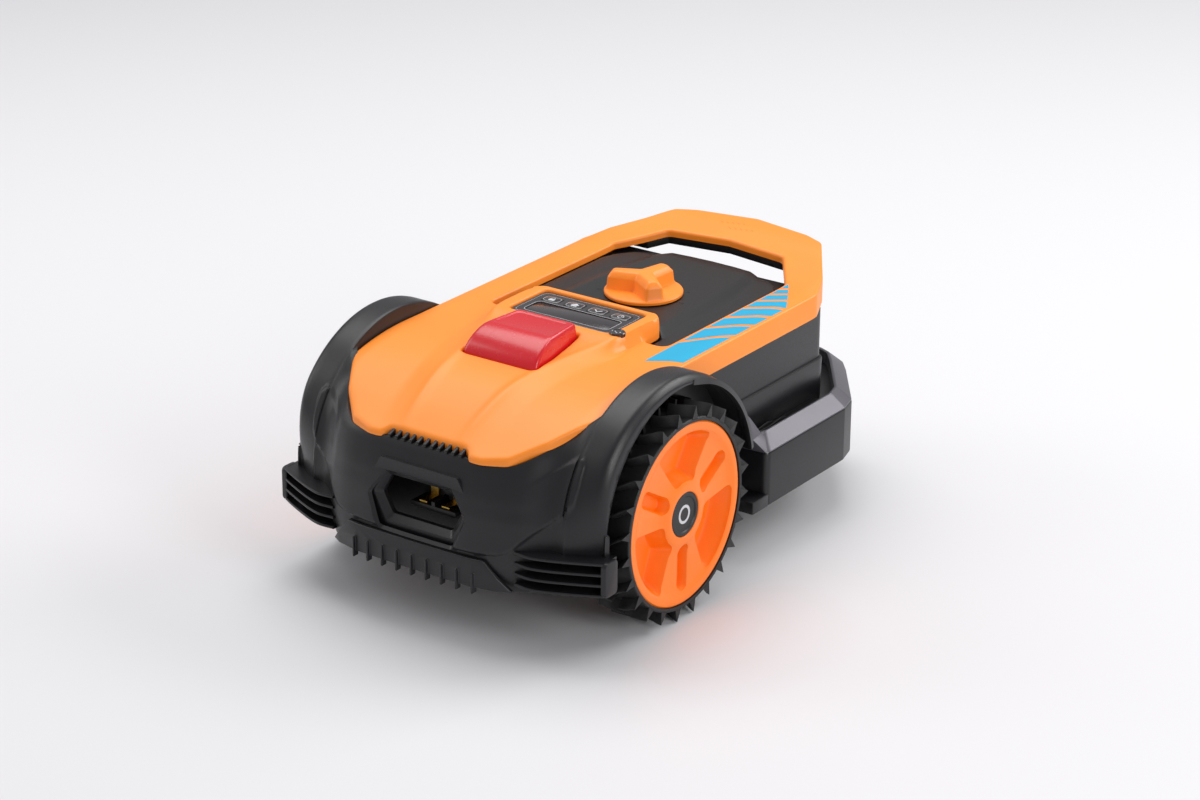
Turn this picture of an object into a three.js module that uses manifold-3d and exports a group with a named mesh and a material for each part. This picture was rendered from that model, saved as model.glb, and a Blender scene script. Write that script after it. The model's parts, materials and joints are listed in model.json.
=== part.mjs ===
// Robotic lawn mower: two driven front wheels, a tail deck over the cutting disc and a carrying handle.
// Units are millimetres, +Z is up, the charging nose looks along -Y and the handle is at +Y.
// Stations are distances along Y from the drive axle; the last group moves the origin to the middle.

import * as THREE from "three";
import { mergeVertices } from "three/addons/utils/BufferGeometryUtils.js";
import Module from "manifold-3d";

const wasm = await Module();
wasm.setup();

// ---------------------------------------------------------------- driving dimensions

const gap = 0.3; // between touching pieces
const runningGap = 0.8; // between pieces that move past each other
const skin = 3; // wall of the moulded covers
const reach = 400; // length of a cutting prism that passes right through the body

const wheel = { tipRadius: 97.8, treadRadius: 87, rimRadius: 83, width: 44, outerX: 175.2, lugs: 24 };
const rim = { thickness: 9, inset: 1, dishShare: 1 / 3, pockets: 3 };
const spoke = { firstAngle: 30, pocketHalfAngle: 34, pocketDepth: 20, rootClearance: 6 };
const slot = { start: 30, end: 71, width: 11, depth: 8 };
const lugShare = { root: 0.38, shoulder: 0.24, tip: 0.12 }; // half widths as shares of the lug pitch
const hub = { radius: 20, capHeight: 3, recess: 5, axleRadius: 5, bossRadius: 26 };

const nose = { tipStation: -154, bottomZ: 56, lipZ: 84, topZ: 160, flangeStation: -70 };
const fender = {
  archGap: 13,
  archShift: 5.6,
  archRise: 2,
  thickness: 12.2,
  forward: 4,
  overhang: 9.2,
  chamfer: 6,
  frontStation: -126,
  bendStation: -113,
  cornerStation: -101,
  bendX: 150,
};
const port = { halfWidth: 42, topHalfWidth: 32, bottomZ: 97, topZ: 133, bevel: 13, bevelDepth: 5 };
const lip = {
  thickness: 4,
  topHalfWidth: 73,
  bottomHalfWidth: 96,
  bottomZ: 58,
  rearStation: -120,
  ribs: 9,
  ribPitch: 16,
  ribWidth: 2,
  ribDepth: 3,
  ribDrop: 12,
};
const fins = {
  innerX: 112,
  outerX: 176,
  bottomZ: 64,
  topZ: 96,
  innerStation: -146,
  outerStation: -122,
  slats: 4,
  slatHeight: 3,
  slatDepth: 20,
  stripDepth: 4,
  plate: 5,
};

const hood = {
  halfWidth: 132,
  railTopZ: 209,
  railWidth: 36,
  skirtDepth: 23,
  sideDepth: 8,
  innerWall: 6,
  edgeHeight: 4,
  frontZ: 164,
  frontStation: -139.5,
  noseStation: -131,
  browStation: -100,
  shoulderStation: -70,
};
const bulge = {
  noseHalfWidth: 44,
  halfWidth: 58,
  height: 12,
  frontStation: -40,
  bezelHalfWidth: 71,
  bezelFront: 48,
  bezelRear: 124,
  bezelCorner: 14,
  bezelSlope: 8,
  railStart: 80,
};
const handle = { startStation: 270, endStation: 381, rise: 17, gripDepth: 51, linerDepth: 10 };
const grille = { halfWidth: 41, slats: 11, slatWidth: 3, topZ: 170.4, wall: 1.6, endMargin: 3, toe: 3 };
const panel = {
  halfWidth: 56,
  frontStation: 54,
  rearStation: 112,
  corner: 8,
  thickness: 2,
  sink: 2.5,
  keyMargin: 6,
  windowMargin: 11,
  windowFront: 10,
  windowRear: 34,
};
const key = { count: 4, length: 13, pitchShare: 0.8, height: 1.6, proud: 0.4, setBack: 15 };
const sensor = { radius: 7, offset: 2, height: 1.7 };
const stop = {
  halfWidth: 40,
  topHalfWidth: 32,
  frontStation: -34,
  rearStation: 40,
  baseZ: 209,
  topZ: 230,
  travel: 4,
  skirt: 14,
  noseRun: 8,
  noseRise: 10,
  slopeRun: 30,
  rearRun: 12,
  rearDrop: 6,
};
const stopSwitch = { halfWidth: 10, front: -6, rear: 14, height: 16, plungerHalf: 3, plunger: 8, clearance: 1 };
const knob = {
  station: 187,
  firstLobe: -38,
  baseRadius: 36.5,
  baseHeight: 4,
  lobes: 3,
  lobeRadius: 34,
  lobeHalfWidth: 11,
  lobeTaper: 0.8,
  lobeRoot: 4,
  height: 21,
};
const deck = {
  edgeZ: 202,
  crownZ: 206,
  frontStation: 84,
  rearStation: 304,
  corner: 34,
  crownHalfWidth: 58,
  crownSlope: 14,
  crownFront: 100,
};

const tail = {
  halfWidth: 160,
  frontStation: 152,
  rearStation: 392,
  bottomZ: 46,
  topZ: 98,
  straightEnd: 285,
  cornerRun: 22,
  cornerStep: 6,
  taperStep: 48,
  taperEnd: 26,
  endHalfWidth: 60,
};
const body = {
  halfWidth: 126,
  bottomZ: tail.topZ + gap,
  frontStation: wheel.tipRadius + runningGap,
  rearStation: 303,
  corner: 10,
  frontLedge: 20,
};
const trim = { inset: 15, edge: 2, rise: 13, footLength: 12, noseStation: 116, noseZ: 148, noseLength: 14 };
const louvre = {
  plate: 4,
  rearGap: 2,
  slats: 3,
  firstSlat: 4,
  slatPitch: 16,
  slatLength: 40,
  slatFlat: 32,
  slatStep: 4,
  slatWidth: 2,
};
const foot = { length: 22, height: 12, width: 30 };

const chassis = {
  frontStation: -100,
  floorZ: 62,
  topZ: 150,
  wall: 3,
  sideGap: 5,
  discRoom: 32,
  discRoofDrop: 10,
};
const disc = { radius: 62, thickness: 2.5, z: 42, hubRadius: 15, hubHeight: 3, screwHoleRadius: 2.6 };
const blade = {
  length: 34,
  width: 16,
  thickness: 1,
  holeRadius: 3.2,
  count: 3,
  pivotRadius: 52,
  heel: 8,
  corner: 2,
  screwRadius: 2.4,
  headRadius: 4.6,
  headHeight: 2,
};
const lift = {
  plateRadius: 46,
  plateThickness: 5,
  motorRadius: 29,
  motorHeight: 46,
  motorClearance: 10,
  shaftRadius: 3,
  spindleRadius: 6,
  spindleRise: 40,
  sleeveWall: 6,
  sleeveHeight: 62,
};
const castor = {
  x: 80,
  station: 336,
  wheelRadius: 27,
  wheelWidth: 18,
  trail: 13,
  cheek: 3,
  pinRadius: 3,
  pinProud: 1,
  eyeHalf: 7,
  crownHalf: 10,
  crownHeight: 4,
  crownClearance: 3,
  stemRadius: 5,
  earRadius: 11,
  earBottomZ: 68,
  hubRadius: 8,
  tyreDepth: 6,
  dishDepth: 4,
};
const driveMotor = { radius: 22, length: 46, gearbox: 30, boxHalfLength: 30, boxHalfHeight: 27, socket: 16 };
const rocker = {
  halfWidth: 10,
  halfHeight: 8,
  proud: 1.6,
  waist: 0.2,
  depth: 8,
  corner: 3,
  z: 74,
  travelGap: 1.5,
};
const door = {
  halfWidth: 54,
  front: -92,
  rear: -32,
  tabHalfWidth: 12,
  tabFront: 12,
  tabRear: 8,
  tabHeight: 2,
};
const battery = { width: 96, length: 52, height: 60, station: -62, bottomZ: 66 };
const batteryPlug = { halfWidth: 14, length: 6, topDrop: 6, height: 14 };
const circuit = { halfWidth: 60, front: -26, rear: 82, z: 156, thickness: 2, partTopZ: 166 };
const contact = { x: 12, halfWidth: 4, thickness: 1.5, height: 16 };
const contactBlock = {
  halfWidth: 24,
  frontInset: 26,
  rearInset: 4,
  wall: 4,
  rise: 4,
  floor: 5,
  dividerHalf: 2,
};

// ---------------------------------------------------------------- derived dimensions

const wheelInnerX = wheel.outerX - wheel.width;
const archRadius = wheel.tipRadius + fender.archGap;
const crownRadius = archRadius + fender.thickness;
const axleZ = wheel.tipRadius;
const fenderOuterX = wheel.outerX - fender.overhang;
const fenderInnerX = hood.halfWidth + 2 * gap;
const chassisHalfWidth = wheelInnerX - chassis.sideGap;
const hoodCentreZ = hood.railTopZ + bulge.height;
const cutoutHalfWidth = hood.halfWidth - hood.railWidth;
const trimInnerHalfWidth = tail.halfWidth - trim.inset - trim.edge;
const trimTopZ = tail.topZ + trim.rise;
const panelTopZ = hoodCentreZ - panel.sink;
const keyPitch = (2 * (panel.halfWidth - panel.keyMargin)) / key.count;
const keyWidth = key.pitchShare * keyPitch;
const keyStation = panel.rearStation - key.setBack;
const knobBaseZ = deck.crownZ + 2 * gap;
const carriageZ = disc.z + lift.motorClearance + lift.motorHeight;
const spindleBottomZ = disc.z + lift.motorHeight + lift.spindleRise;
const bladeTopZ = disc.z - gap;
const castorAxleStation = castor.station + castor.trail;
const forkTopZ = 2 * castor.wheelRadius + castor.crownClearance;
const archCentre = [fender.archShift, axleZ + fender.archRise];
const crownCentre = [-fender.forward, axleZ];
const windowBox = {
  halfWidth: panel.halfWidth - panel.windowMargin,
  front: panel.frontStation + panel.windowFront,
  rear: panel.frontStation + panel.windowRear,
};

// ---------------------------------------------------------------- materials

function finish(color, roughness, metalness = 0) {
  return new THREE.MeshStandardMaterial({ color, roughness, metalness });
}

const orange = finish(0xff9a3c, 0.42);
const rimOrange = finish(0xff7d1e, 0.4);
const charcoal = finish(0x35353a, 0.55);
const black = finish(0x232326, 0.6);
const trimGrey = finish(0x77747a, 0.45, 0.3);
const stopRed = finish(0xd41f2f, 0.3);
const glossBlack = finish(0x18181b, 0.15);
const rubber = finish(0x1d1d1f, 0.85);
const steel = finish(0xb9bcc0, 0.3, 1);
const brass = finish(0xc9a552, 0.35, 1);
const board = finish(0x1f6b45, 0.6);
const batteryBlue = finish(0x2a4d86, 0.5);

// ---------------------------------------------------------------- solids

// Turns a closed geometry into a solid, dropping the slivers that merging its corners leaves.
function toSolid(geometry) {
  const loose = geometry.index ? geometry.toNonIndexed() : geometry.clone();
  loose.deleteAttribute("normal");
  loose.deleteAttribute("uv");
  const merged = mergeVertices(loose, 1e-4);
  const corners = merged.index.array;
  const triangles = [];
  for (let i = 0; i < corners.length; i += 3) {
    const [a, b, c] = [corners[i], corners[i + 1], corners[i + 2]];
    if (a !== b && b !== c && c !== a) triangles.push(a, b, c);
  }
  return new wasm.Manifold(
    new wasm.Mesh({
      numProp: 3,
      vertProperties: Float32Array.from(merged.attributes.position.array),
      triVerts: Uint32Array.from(triangles),
    }),
  );
}

// Solid prism of a closed outline, carried by a matrix from its own X-Y plane.
function prism(outline, depth, matrix) {
  const shape = new THREE.Shape(outline.map(([u, v]) => new THREE.Vector2(u, v)));
  const geometry = new THREE.ExtrudeGeometry(shape, { depth, bevelEnabled: false });
  return toSolid(geometry.applyMatrix4(matrix));
}

// Outline of [y, z] points, swept from x0 to x1.
function alongX(outline, x0, x1) {
  const matrix = new THREE.Matrix4().makeBasis(
    new THREE.Vector3(0, 1, 0),
    new THREE.Vector3(0, 0, 1),
    new THREE.Vector3(1, 0, 0),
  );
  return prism(outline, x1 - x0, matrix.setPosition(x0, 0, 0));
}

// Outline of [x, z] points, swept from y0 to y1.
function alongY(outline, y0, y1) {
  const matrix = new THREE.Matrix4().makeBasis(
    new THREE.Vector3(1, 0, 0),
    new THREE.Vector3(0, 0, 1),
    new THREE.Vector3(0, -1, 0),
  );
  return prism(outline, y1 - y0, matrix.setPosition(0, y1, 0));
}

// Outline of [x, y] points, swept from z0 to z1.
function alongZ(outline, z0, z1) {
  return prism(outline, z1 - z0, new THREE.Matrix4().setPosition(0, 0, z0));
}

function box(x0, x1, y0, y1, z0, z1) {
  return toSolid(
    new THREE.BoxGeometry(x1 - x0, y1 - y0, z1 - z0).translate((x0 + x1) / 2, (y0 + y1) / 2, (z0 + z1) / 2),
  );
}

// Round bar between two distances on an axis, "x" or "z", centred on the other two coordinates.
function bar(axis, radius, from, to, centre, sides = 24) {
  const geometry = new THREE.CylinderGeometry(radius, radius, to - from, sides);
  if (axis === "x") {
    geometry.rotateZ(-Math.PI / 2).translate((from + to) / 2, centre[0], centre[1]);
  } else {
    geometry.rotateX(Math.PI / 2).translate(centre[0], centre[1], (from + to) / 2);
  }
  return toSolid(geometry);
}

function union(solids) {
  return solids.reduce((sum, solid) => sum.add(solid));
}

// The same solid on the other side of the machine.
function mirrored(solid) {
  const { vertProperties, triVerts } = solid.getMesh();
  const flipped = Float32Array.from(vertProperties, (value, i) => (i % 3 === 0 ? -value : value));
  const turned = Uint32Array.from(triVerts);
  for (let i = 0; i < turned.length; i += 3) {
    [turned[i + 1], turned[i + 2]] = [turned[i + 2], turned[i + 1]];
  }
  return new wasm.Manifold(new wasm.Mesh({ numProp: 3, vertProperties: flipped, triVerts: turned }));
}

// ---------------------------------------------------------------- outlines

// Moves every edge of a counter-clockwise outline outwards by a distance, keeping its corners sharp.
function offset(outline, distance) {
  return outline.map((point, i) => {
    const before = outline[(i + outline.length - 1) % outline.length];
    const after = outline[(i + 1) % outline.length];
    const a = edgeNormal(before, point);
    const b = edgeNormal(point, after);
    const share = distance / (1 + a[0] * b[0] + a[1] * b[1]);
    return [point[0] + (a[0] + b[0]) * share, point[1] + (a[1] + b[1]) * share];
  });
}

function edgeNormal(from, to) {
  const length = Math.hypot(to[0] - from[0], to[1] - from[1]);
  return [(to[1] - from[1]) / length, (from[0] - to[0]) / length];
}

// Completes the right half of an outline, listed counter-clockwise, with its mirror image.
function symmetric(half) {
  const left = half.map(([x, y]) => [-x, y]).reverse();
  return [...half, ...left.filter(([x]) => Math.abs(x) > gap)];
}

// Points of a circle between two angles in degrees, both ends included.
function arc(centre, radius, fromDegrees, toDegrees, steps) {
  const points = [];
  for (let i = 0; i <= steps; i += 1) {
    const angle = THREE.MathUtils.degToRad(fromDegrees + ((toDegrees - fromDegrees) * i) / steps);
    points.push([centre[0] + radius * Math.cos(angle), centre[1] + radius * Math.sin(angle)]);
  }
  return points;
}

// Solid between two outlines with the same number of points, the lower at z0 and the upper at z1.
function taper(lower, upper, z0, z1) {
  const count = lower.length;
  const positions = [...lower.map(([x, y]) => [x, y, z0]), ...upper.map(([x, y]) => [x, y, z1])].flat();
  const cap = THREE.ShapeUtils.triangulateShape(lower.map(([x, y]) => new THREE.Vector2(x, y)), []);
  const index = [];
  for (const [a, b, c] of cap) index.push(a, c, b, a + count, b + count, c + count);
  for (let i = 0; i < count; i += 1) {
    const j = (i + 1) % count;
    index.push(i, j, j + count, i, j + count, i + count);
  }
  const geometry = new THREE.BufferGeometry();
  geometry.setAttribute("position", new THREE.Float32BufferAttribute(positions, 3));
  geometry.setIndex(index);
  return toSolid(geometry);
}

// Rectangle with its rear corners cut at 45 degrees, seen from above.
function deckOutline(halfWidth, frontStation, rearStation, corner) {
  return symmetric([
    [halfWidth, frontStation],
    [halfWidth, rearStation - corner],
    [halfWidth - corner, rearStation],
  ]);
}

// ---------------------------------------------------------------- hood

// The hood's top line along the rails, front to rear, as [station, z].
function railLine(drop = 0) {
  const points = [
    [hood.frontStation, hood.frontZ + hood.edgeHeight],
    [hood.noseStation, 173],
    [hood.browStation, 189],
    [hood.shoulderStation, 200],
    [bulge.frontStation, hood.railTopZ - 2],
    [0, hood.railTopZ],
    [handle.startStation, hood.railTopZ],
    [handle.endStation, hood.railTopZ + handle.rise],
  ];
  return points.map(([y, z]) => [y, z - drop]);
}

// The raised middle of the hood, from the grille up to the control panel.
function centreLine(drop = 0) {
  const points = [
    [hood.frontStation, hood.frontZ + hood.edgeHeight],
    [hood.noseStation, 174],
    [hood.browStation, 192],
    [hood.shoulderStation, 204],
    [bulge.frontStation, 211],
    [bulge.bezelFront, hoodCentreZ],
    [bulge.bezelRear - bulge.bezelSlope, hoodCentreZ],
    [bulge.bezelRear, hood.railTopZ],
  ];
  return points.map(([y, z]) => [y, z - drop]);
}

// Underside of the hood's skirt: shallow at the nose, deep along the rails and the handle.
function skirtLine() {
  return [
    [hood.frontStation, hood.frontZ],
    [hood.noseStation, hood.frontZ],
    [hood.shoulderStation, 200 - hood.sideDepth],
    [bulge.frontStation, hood.railTopZ - 2 - hood.sideDepth],
    [0, hood.railTopZ - hood.sideDepth],
    [body.frontStation, hood.railTopZ - hood.sideDepth],
    [body.frontStation + 1, hood.railTopZ - hood.skirtDepth],
    [handle.startStation, hood.railTopZ - hood.skirtDepth],
    [handle.endStation, hood.railTopZ + handle.rise - hood.skirtDepth],
  ];
}

function hoodOutline(grow = 0) {
  const half = [
    [0, hood.frontStation],
    [49, hood.frontStation],
    [83, -132],
    [108, -107],
    [hood.halfWidth, hood.shoulderStation],
    [hood.halfWidth, handle.startStation + 5],
    [120, 304],
    [83, 361],
    [66, 366],
    [0, handle.endStation],
  ];
  return offset(symmetric(half), grow);
}

// Opening inside the rails: the deck well in front and the hand hole behind it.
function wellOutline(grow = 0) {
  const half = [
    [0, bulge.bezelRear],
    [bulge.bezelHalfWidth - bulge.bezelCorner, bulge.bezelRear],
    [bulge.bezelHalfWidth, bulge.bezelRear - bulge.bezelCorner],
    [bulge.bezelHalfWidth, bulge.railStart],
    [cutoutHalfWidth, bulge.railStart],
    [cutoutHalfWidth, handle.startStation + 7],
    [64, 323],
    [0, handle.endStation - handle.gripDepth],
  ];
  return offset(symmetric(half), grow);
}

function hoodBand(top, bottom) {
  return alongX([...bottom, ...top.toReversed()], -reach, reach);
}

function makeHood() {
  const floor = skirtLine().map(([y, z]) => [y, z - reach]);
  const outline = alongZ(hoodOutline(), 0, reach);
  const bulgeOutline = symmetric([
    [bulge.noseHalfWidth, hood.frontStation],
    [bulge.halfWidth, bulge.frontStation],
    [bulge.bezelHalfWidth, bulge.bezelFront],
    [bulge.bezelHalfWidth, bulge.bezelRear - bulge.bezelCorner],
    [bulge.bezelHalfWidth - bulge.bezelCorner, bulge.bezelRear],
  ]);
  const raised = hoodBand(centreLine(), skirtLine()).intersect(alongZ(bulgeOutline, 0, reach));
  const raisedInside = alongZ(offset(bulgeOutline, -skin), 0, reach);
  const raisedHollow = hoodBand(centreLine(skin), floor).intersect(raisedInside);
  const block = hoodBand(railLine(), skirtLine()).intersect(outline);
  const inside = alongZ(hoodOutline(-skin), 0, reach);
  const wellWall = alongZ(wellOutline(skin), 0, reach);
  const hollow = hoodBand(railLine(skin), floor).intersect(inside).subtract(wellWall);
  const underWall = hoodBand(railLine(hood.innerWall), floor).intersect(inside);
  const notch = box(-grille.halfWidth, grille.halfWidth, hood.frontStation - skin, hood.noseStation, 0, reach);
  return block
    .add(raised)
    .subtract(hollow)
    .subtract(underWall)
    .subtract(raisedHollow)
    .subtract(alongZ(wellOutline(), 0, reach))
    .subtract(notch)
    .subtract(stopOpening())
    .subtract(panelOpening());
}

// Everything under the hood's skirt that another cover must keep clear of.
function hoodEnvelope() {
  const bottom = skirtLine().map(([y, z]) => [y, z - gap]);
  const top = skirtLine().map(([y, z]) => [y, z + reach]);
  return hoodBand(top, bottom).intersect(alongZ(hoodOutline(2 * gap), 0, 2 * reach));
}

// Black underside that closes the handle and gives the hand a smooth grip.
function makeHandleLiner() {
  const top = railLine(hood.innerWall + gap);
  const bottom = railLine(handle.linerDepth + hood.innerWall);
  const ring = alongZ(hoodOutline(-skin - gap), 0, reach).subtract(alongZ(wellOutline(skin / 2), 0, reach));
  const behind = box(-reach, reach, body.rearStation + skin, reach, 0, reach);
  return hoodBand(top, bottom).intersect(ring).intersect(behind);
}

// ---------------------------------------------------------------- hood fittings

function stopOutline(grow = 0) {
  return offset(
    [
      [-stop.halfWidth, stop.frontStation],
      [stop.halfWidth, stop.frontStation],
      [stop.topHalfWidth, stop.rearStation],
      [-stop.topHalfWidth, stop.rearStation],
    ],
    grow,
  );
}

function stopOpening() {
  return alongZ(stopOutline(runningGap), 100, reach);
}

function makeStopButton() {
  const side = [
    [stop.frontStation, stop.baseZ - stop.skirt],
    [stop.rearStation, stop.baseZ - stop.skirt],
    [stop.rearStation, stop.topZ - stop.rearDrop],
    [stop.rearStation - stop.rearRun, stop.topZ],
    [stop.frontStation + stop.slopeRun, stop.topZ],
    [stop.frontStation + stop.noseRun, stop.baseZ + stop.noseRise],
    [stop.frontStation, stop.baseZ],
  ];
  const end = [
    [-stop.halfWidth, 0],
    [stop.halfWidth, 0],
    [stop.halfWidth, stop.baseZ],
    [stop.topHalfWidth, stop.topZ],
    [-stop.topHalfWidth, stop.topZ],
    [-stop.halfWidth, stop.baseZ],
  ];
  const plan = alongZ(stopOutline(), 0, reach);
  const cap = alongX(side, -reach, reach).intersect(alongY(end, -reach, reach)).intersect(plan);
  const hollow = alongZ(stopOutline(-skin), 0, stop.baseZ - skin);
  return cap.subtract(hollow);
}

function makeStopSwitch() {
  const { halfWidth, front, rear, height, plungerHalf, plunger, clearance } = stopSwitch;
  const top = stop.baseZ - skin - stop.travel - clearance;
  const middle = (front + rear) / 2;
  const housingTop = top - plunger + 2 * clearance;
  const housing = box(-halfWidth, halfWidth, front, rear, housingTop - height, housingTop);
  return housing.add(
    box(-plungerHalf, plungerHalf, middle - plungerHalf, middle + plungerHalf, top - plunger, top),
  );
}

function panelOutline(grow = 0) {
  return offset(
    [
      [-panel.halfWidth, panel.frontStation],
      [panel.halfWidth, panel.frontStation],
      [panel.halfWidth, panel.rearStation - panel.corner],
      [panel.halfWidth - panel.corner, panel.rearStation],
      [panel.corner - panel.halfWidth, panel.rearStation],
      [-panel.halfWidth, panel.rearStation - panel.corner],
    ],
    grow,
  );
}

function panelOpening() {
  return alongZ(panelOutline(gap), hood.railTopZ - skin, reach);
}

function keyX(index) {
  return (index - (key.count - 1) / 2) * keyPitch;
}

function keyBox(index, grow, z0, z1) {
  const x = keyX(index);
  return box(
    x - keyWidth / 2 - grow,
    x + keyWidth / 2 + grow,
    keyStation - key.length / 2 - grow,
    keyStation + key.length / 2 + grow,
    z0,
    z1,
  );
}

function makeControlPanel() {
  let plate = alongZ(panelOutline(), panelTopZ - panel.thickness, panelTopZ);
  for (let i = 0; i < key.count; i += 1) plate = plate.subtract(keyBox(i, gap, 0, reach));
  const opening = box(
    -windowBox.halfWidth - gap,
    windowBox.halfWidth + gap,
    windowBox.front - gap,
    windowBox.rear + gap,
    0,
    reach,
  );
  return plate.subtract(opening);
}

function makeDisplayWindow() {
  return box(
    -windowBox.halfWidth,
    windowBox.halfWidth,
    windowBox.front,
    windowBox.rear,
    panelTopZ - panel.thickness,
    panelTopZ - gap,
  );
}

function makeKey(index) {
  const top = panelTopZ + key.proud;
  return keyBox(index, 0, top - key.height, top);
}

function makeGrille() {
  const station = hood.frontStation + gap;
  const floorZ = hood.frontZ + gap;
  const rear = hood.noseStation;
  const halfWidth = grille.halfWidth - gap;
  const back = box(-halfWidth, halfWidth, rear - gap * 2, rear - gap * 2 + grille.wall, floorZ, grille.topZ);
  const pitch = (2 * (grille.halfWidth - grille.endMargin)) / (grille.slats - 1);
  const slats = [];
  for (let i = 0; i < grille.slats; i += 1) {
    const x = (i - (grille.slats - 1) / 2) * pitch;
    slats.push(
      alongX(
        [
          [station, floorZ],
          [rear, floorZ],
          [rear, grille.topZ],
          [station, floorZ + grille.toe],
        ],
        x - grille.slatWidth / 2,
        x + grille.slatWidth / 2,
      ),
    );
  }
  return union([back, ...slats]);
}

function makeDeckCover() {
  const rim = deckOutline(cutoutHalfWidth - gap, deck.frontStation, deck.rearStation, deck.corner);
  const plate = alongZ(rim, deck.edgeZ - skin, deck.edgeZ);
  const crown = alongY(
    [
      [-deck.crownHalfWidth - deck.crownSlope, deck.edgeZ - skin / 2],
      [deck.crownHalfWidth + deck.crownSlope, deck.edgeZ - skin / 2],
      [deck.crownHalfWidth, deck.crownZ],
      [-deck.crownHalfWidth, deck.crownZ],
    ],
    deck.crownFront,
    deck.rearStation - deck.crownSlope,
  );
  const clear = alongZ(bezelSkirtOutline(gap), 0, reach);
  const spindleHole = bar("z", lift.spindleRadius + runningGap, 0, reach, [0, knob.station]);
  return plate.add(crown).subtract(clear).subtract(spindleHole);
}

function bezelSkirtOutline(grow) {
  return offset(
    symmetric([
      [bulge.bezelHalfWidth, bulge.bezelFront],
      [bulge.bezelHalfWidth, bulge.bezelRear - bulge.bezelCorner],
      [bulge.bezelHalfWidth - bulge.bezelCorner, bulge.bezelRear],
    ]),
    grow,
  );
}

function makeRainSensor() {
  const centre = [panel.halfWidth + sensor.offset, panel.frontStation + sensor.offset];
  const bottom = hoodCentreZ + gap;
  return bar("z", sensor.radius, bottom, bottom + sensor.height, centre, 20);
}

// ---------------------------------------------------------------- height knob and cutting unit

function makeHeightKnob() {
  const centre = [0, knob.station];
  const base = bar("z", knob.baseRadius, knobBaseZ, knobBaseZ + knob.baseHeight, centre, 36);
  const lobes = [];
  for (let i = 0; i < knob.lobes; i += 1) {
    const angle = THREE.MathUtils.degToRad(knob.firstLobe + (360 * i) / knob.lobes);
    const turn = new THREE.Matrix4().makeRotationZ(angle).setPosition(0, knob.station, knobBaseZ);
    const lobe = [
      [-knob.lobeRoot, -knob.lobeHalfWidth],
      [knob.lobeRadius, -knob.lobeHalfWidth * knob.lobeTaper],
      [knob.lobeRadius, knob.lobeHalfWidth * knob.lobeTaper],
      [-knob.lobeRoot, knob.lobeHalfWidth],
    ];
    lobes.push(prism(lobe, knob.height, turn));
  }
  return union([base, ...lobes]);
}

function makeHeightSpindle() {
  return bar("z", lift.spindleRadius, spindleBottomZ, knobBaseZ - gap, [0, knob.station], 20);
}

function makeLiftCarriage() {
  const centre = [0, knob.station];
  const plateTop = carriageZ + lift.plateThickness;
  const plate = bar("z", lift.plateRadius, carriageZ, plateTop, centre, 32);
  const sleeve = bar("z", lift.spindleRadius + lift.sleeveWall, carriageZ, carriageZ + lift.sleeveHeight, centre, 20);
  const bore = bar("z", lift.spindleRadius + runningGap, plateTop, reach, centre, 20);
  return plate.add(sleeve).subtract(bore);
}

function makeCuttingMotor() {
  const centre = [0, knob.station];
  const bottom = disc.z + lift.motorClearance;
  const hubTop = disc.z + disc.thickness + disc.hubHeight;
  const can = bar("z", lift.motorRadius, bottom, carriageZ - gap, centre, 28);
  return can.add(bar("z", lift.shaftRadius, hubTop + gap, bottom + skin, centre, 12));
}

function bladePivot(index) {
  const angle = (2 * Math.PI * index) / blade.count + Math.PI / 2;
  return [blade.pivotRadius * Math.cos(angle), knob.station + blade.pivotRadius * Math.sin(angle), angle];
}

function makeBladeDisc() {
  const centre = [0, knob.station];
  let plate = bar("z", disc.radius, disc.z, disc.z + disc.thickness, centre, 36);
  plate = plate.add(bar("z", disc.hubRadius, disc.z, disc.z + disc.thickness + disc.hubHeight, centre, 20));
  for (let i = 0; i < blade.count; i += 1) {
    const [x, y] = bladePivot(i);
    plate = plate.subtract(bar("z", disc.screwHoleRadius, 0, reach, [x, y], 12));
  }
  return plate;
}

function makeBlade(index) {
  const [x, y, angle] = bladePivot(index);
  const outline = [
    [-blade.heel, -blade.width / 2 + blade.corner],
    [blade.corner - blade.heel, -blade.width / 2],
    [blade.length - blade.heel, -blade.width / 2],
    [blade.length - blade.heel, blade.width / 2],
    [blade.corner - blade.heel, blade.width / 2],
    [-blade.heel, blade.width / 2 - blade.corner],
  ];
  const matrix = new THREE.Matrix4().makeRotationZ(angle).setPosition(x, y, bladeTopZ - blade.thickness);
  return prism(outline, blade.thickness, matrix).subtract(bar("z", blade.holeRadius, 0, reach, [x, y], 12));
}

function makeBladeScrew(index) {
  const [x, y] = bladePivot(index);
  const low = bladeTopZ - blade.thickness - gap;
  const head = bar("z", blade.headRadius, low - blade.headHeight, low, [x, y], 14);
  const shankTop = disc.z + disc.thickness + blade.headHeight;
  return head.add(bar("z", blade.screwRadius, low - blade.headHeight / 2, shankTop, [x, y], 12));
}

// ---------------------------------------------------------------- nose, fenders and bumper

function nosePlan(grow = 0) {
  const tip = nose.tipStation;
  return offset(
    symmetric([
      [0, tip],
      [60, tip + 1],
      [84, tip + 6],
      [106, tip + 19],
      [fenderInnerX + skin, -124],
      [fenderInnerX + skin, nose.flangeStation + 2 * skin],
    ]),
    grow,
  );
}

// Front-to-back section of the nose as [station, z], from its lower edge up and back under the hood.
function noseSection(inset = 0) {
  const tip = nose.tipStation;
  return offset(
    [
      [nose.flangeStation, nose.bottomZ],
      [nose.flangeStation, 203],
      [-100, 190],
      [-128, 172],
      [-140, nose.topZ],
      [-149, 134],
      [tip + 1, 100],
      [tip, nose.lipZ],
      [tip + 6, nose.bottomZ],
    ],
    -inset,
  );
}

function noseBlock(inset) {
  return alongX(noseSection(inset), -reach, reach).intersect(alongZ(nosePlan(-inset), 0, reach));
}

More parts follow.
